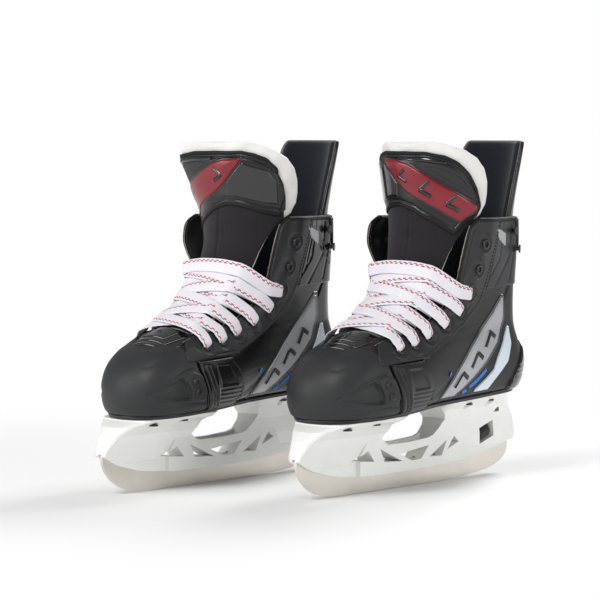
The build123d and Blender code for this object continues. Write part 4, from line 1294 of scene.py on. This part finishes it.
def ribbon(stations, phase, flip, count=84):
    """Flat lace through stations; phase shifts its UVs along, flip mirrors them across."""
    around = 20
    points, ways, half_widths = zip(*stations)
    t = np.linspace(0, len(stations) - 1, count)
    path = smooth(points, t)
    verts, faces = tube(path, np.interp(t, np.arange(len(stations)), half_widths), around,
                        half_depth=0.72 + 0.12 * np.sin(t * 2.1),
                        width_ways=smooth(unit(np.array(ways)), t))
    across = np.cos(2 * np.pi * np.arange(around) / around) * flip
    return verts, faces, [(run + phase, v) for run in lengths(path) for v in across]


def laces(side):
    """Criss-cross straps, a straight one across the sixth row and a first run by the cap."""
    meshes = []
    for row in range(5):
        for flank in FLANKS:
            start, end = lace_hole(row, flank), lace_hole(row + 1, -flank)
            lift = 5.4 if (row % 2 == 1) == (flank > 0) else 3.2
            stations = (lace_head(start)
                        + lace_across((0.82, 0.62, 0.4, 0.2, 0.0, -0.2, -0.4, -0.6, -0.78),
                                      start, LACE_Z[row], end, LACE_Z[row + 1], lift)
                        + lace_tail(end))
            meshes.append(ribbon(stations, row * 7.3 + (flank + 1) * 3, flank))
    outer, inner = lace_hole(5, 1), lace_hole(5, -1)
    z = 187.0
    crossing_run = lace_across((0.82, 0.62, 0.4, 0.2, 0.0, -0.2, -0.4, -0.62, -0.82),
                               outer, z, inner, z, lift=7.4)
    meshes.append(ribbon(lace_head(outer) + crossing_run + lace_head(inner)[::-1],
                         phase=10.0, flip=1, count=110))
    first_run = [((share * 29.0 - 1.0, -57.5 - 7 * (1 - share * share),
                   125.2 + 9.5 * (1 - abs(share) ** 2.2)), (0, 0.93, 0.36), 4.8)
                 for share in np.linspace(1, -1, 13)]
    meshes.append(ribbon(first_run, phase=1.0, flip=1, count=60))
    add_piece(side, "laces", merge(meshes), "lace", replaces=["lace"], slot="lace")


# ---------------------------------------------------------------- vamp and stitching
def vamp(side):
    """Glossy bridge in three steps over the cap's root, and a small rivet on it."""
    middle_x = -1.2
    meshes = []
    # Columns: front y, rear y, half width at the rear, lift, thickness.
    for front, rear, half, lift, thick in ((-92, -60, 30, 0.6, 1.4), (-87, -62, 24, 2.0, 1.3),
                                           (-82, -64, 17, 3.2, 1.2)):
        along = bunched(24)[:, None]
        y = front + (rear - front) * along
        x = half * (1 - 0.25 * (1 - along)) * (2 * bunched(40) - 1)
        z = 124.5 + (y + 92) * 0.36 - 0.0105 * x ** 2 + lift
        points = np.stack([x + middle_x, y + 0.006 * x ** 2, z], -1)
        normals = grid_normals(points)
        if normals[..., 2].mean() < 0:
            normals = -normals
        meshes.append(Sheet(points, normals).panel(base=0.0, thick=thick, corner=1.1, under=-0.8))
    add_piece(side, "vamp_bridge", merge(meshes), "gloss", replaces=["vamp_tab"],
              slot="vamp_tab")
    profile = [(2.4, -1.5), (2.4, 0.2), (2.1, 0.7), (1.4, 0.95), (0.02, 1.05)]
    verts = turned_points(np.array([middle_x, -73.0, 135.6]), np.array([0, -0.34, 0.94]),
                          profile, 20, across=np.array([1.0, 0, 0]))
    add_piece(side, "vamp_rivet", merge([(verts, capped_faces(len(profile), 20))]),
              "rivet_black")


def boot_stitching(side):
    """Thread along the bumper's rear edge and both edges of the facing."""
    bumper_row = [(-30, 67.5), (-18.5, 76.5), (-12.5, 84), (-15, 93), (-22, 102.5), (-29, 109)]
    throat_row = [(y + 3.0, z - 2.4) for y, z in THROAT[4:-1]]
    facing_row = [(-62, 115.6), (-28, 116.2), (1, 130.2), (29, 146.2), (45.5, 158), (54.5, 174),
                  (62, 205), (68.5, 229)]
    meshes = []
    for flank in FLANKS:
        for line, lift, length, radius in ((bumper_row, 1.9, 2.2, 0.5),
                                           (throat_row, 2.0, 2.0, 0.36),
                                           (facing_row, 2.0, 2.0, 0.36)):
            meshes += stitches(flank_path(line, flank, lift), 3.0, length, radius)
    add_piece(side, "boot_stitching", merge(meshes), "thread")


PIECES = [quarter, toe_cap, cap_welt_and_studs, throat_gusset, flanks, heel_cup, collar_binding,
          ankle_lining, footbed, eyelets, tongue_body, tongue_plate, tongue_band, guard, laces,
          vamp, boot_stitching]
for side in SKATES:
    for build in PIECES:
        build(side)

# ---------------------------------------------------------------- pieces kept from the CAD
KEPT = {"blade_holder": "holder_white", "holder_rivets": "rivet_black",
        "runner": "runner_steel", "lock_dial": "dial_black", "lock_hook": "hook_steel",
        "lock_washers": "hook_steel", "outsole": "bumper", "midsole_board": "quarter",
        "guard_rivets": "rivet_black"}
for side in SKATES:
    for name, material in KEPT.items():
        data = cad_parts[f"{side}_{name}"].data
        data.materials.clear()
        data.materials.append(MATERIALS[material])
        data.polygons.foreach_set("use_smooth", [True] * len(data.polygons))
        mark_sharp(data, 24)


# ---------------------------------------------------------------- floor, light and camera
def floor_material():
    """Pale grey near the skates, fading to glowing white further out."""
    nodes, surface = new_material("floor_pale")
    nodes.fill(surface, {"Base Color": (0.90, 0.90, 0.90, 1), "Roughness": 0.6})
    distance = nodes.add("VectorMath", {0: nodes.object_space()}, "Value", operation="LENGTH")
    fade = nodes.add("MapRange", {"Value": distance, "From Min": 0.28, "From Max": 0.75},
                     "Result", interpolation_type="SMOOTHSTEP")
    glow = nodes.add("Emission", {"Color": (1, 1, 1, 1)})
    mixed = nodes.add("MixShader", {"Fac": fade, 1: surface.outputs[0], 2: glow})
    nodes.fill(nodes.tree.nodes["Material Output"], {"Surface": mixed})
    return MATERIALS["floor_pale"]


def add_floor():
    radius, around, z = 6.0, 48, -0.0005
    angles = [2 * math.pi * i / around for i in range(around)]
    verts = [(0, 0, z)] + [(radius * math.cos(a), radius * math.sin(a), z) for a in angles]
    data = bpy.data.meshes.new("floor")
    data.from_pydata(verts, [], [(0, 1 + i, 1 + (i + 1) % around) for i in range(around)])
    floor = bpy.data.objects.new("floor", data)
    bpy.context.scene.collection.objects.link(floor)
    data.materials.append(floor_material())
    floor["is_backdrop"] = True


def add_world():
    """White to the camera, dimmer as a light."""
    world = bpy.data.worlds.new("studio")
    bpy.context.scene.world = world
    world.use_nodes = True
    nodes = Nodes(world.node_tree)
    seen = nodes.add("LightPath", output="Is Camera Ray")
    nodes.fill(world.node_tree.nodes["Background"],
               {"Color": (1, 1, 1, 1), "Strength": nodes.spread(seen, 0.36, 1.0)})


add_floor()
add_world()
bpy.context.scene.view_settings.view_transform = "Standard"

TARGET = Vector((0, 0, 0.14))
CAMERA_DISTANCE = 2.4
turn, rise = math.radians(42.0), math.radians(4.2)
to_camera = Vector((math.sin(turn) * math.cos(rise), -math.cos(turn) * math.cos(rise),
                    math.sin(rise)))
to_right = Vector((math.cos(turn), math.sin(turn), 0))

# Columns: name, metres from the target towards the camera, to its right and up, size, watts.
LIGHTS = [
    ("key", 1.3, -0.9, 1.25, 0.6, 21),
    ("fill", 1.2, 1.5, 0.5, 0.8, 9),
    ("rim", -0.9, 0.7, 1.0, 0.6, 15),
    ("left_strip", 0.5, -1.6, 0.35, 0.7, 8),
]
for name, nearer, rightward, upward, size, power in LIGHTS:
    light = bpy.data.lights.new(name, "AREA")
    light.energy = power
    light.size = size
    lamp = bpy.data.objects.new(name, light)
    lamp.location = TARGET + to_camera * nearer + to_right * rightward + Vector((0, 0, upward))
    lamp.rotation_euler = (TARGET - lamp.location).to_track_quat("-Z", "Y").to_euler()
    bpy.context.scene.collection.objects.link(lamp)

lens = bpy.data.cameras.new("camera")
lens.sensor_width = 36.0
lens.lens = 165.6
lens.shift_x = -0.018
lens.shift_y = 0.0383333
lens.clip_end = 50
camera = bpy.data.objects.new("camera", lens)
camera.location = TARGET + to_camera * CAMERA_DISTANCE
camera.rotation_euler = (-to_camera).to_track_quat("-Z", "Y").to_euler()
bpy.context.scene.collection.objects.link(camera)
bpy.context.scene.camera = camera

plain = lambda b: [[float(c) for c in p] for p in b]
{"cad": plain(cad_box), "visual": plain(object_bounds())}
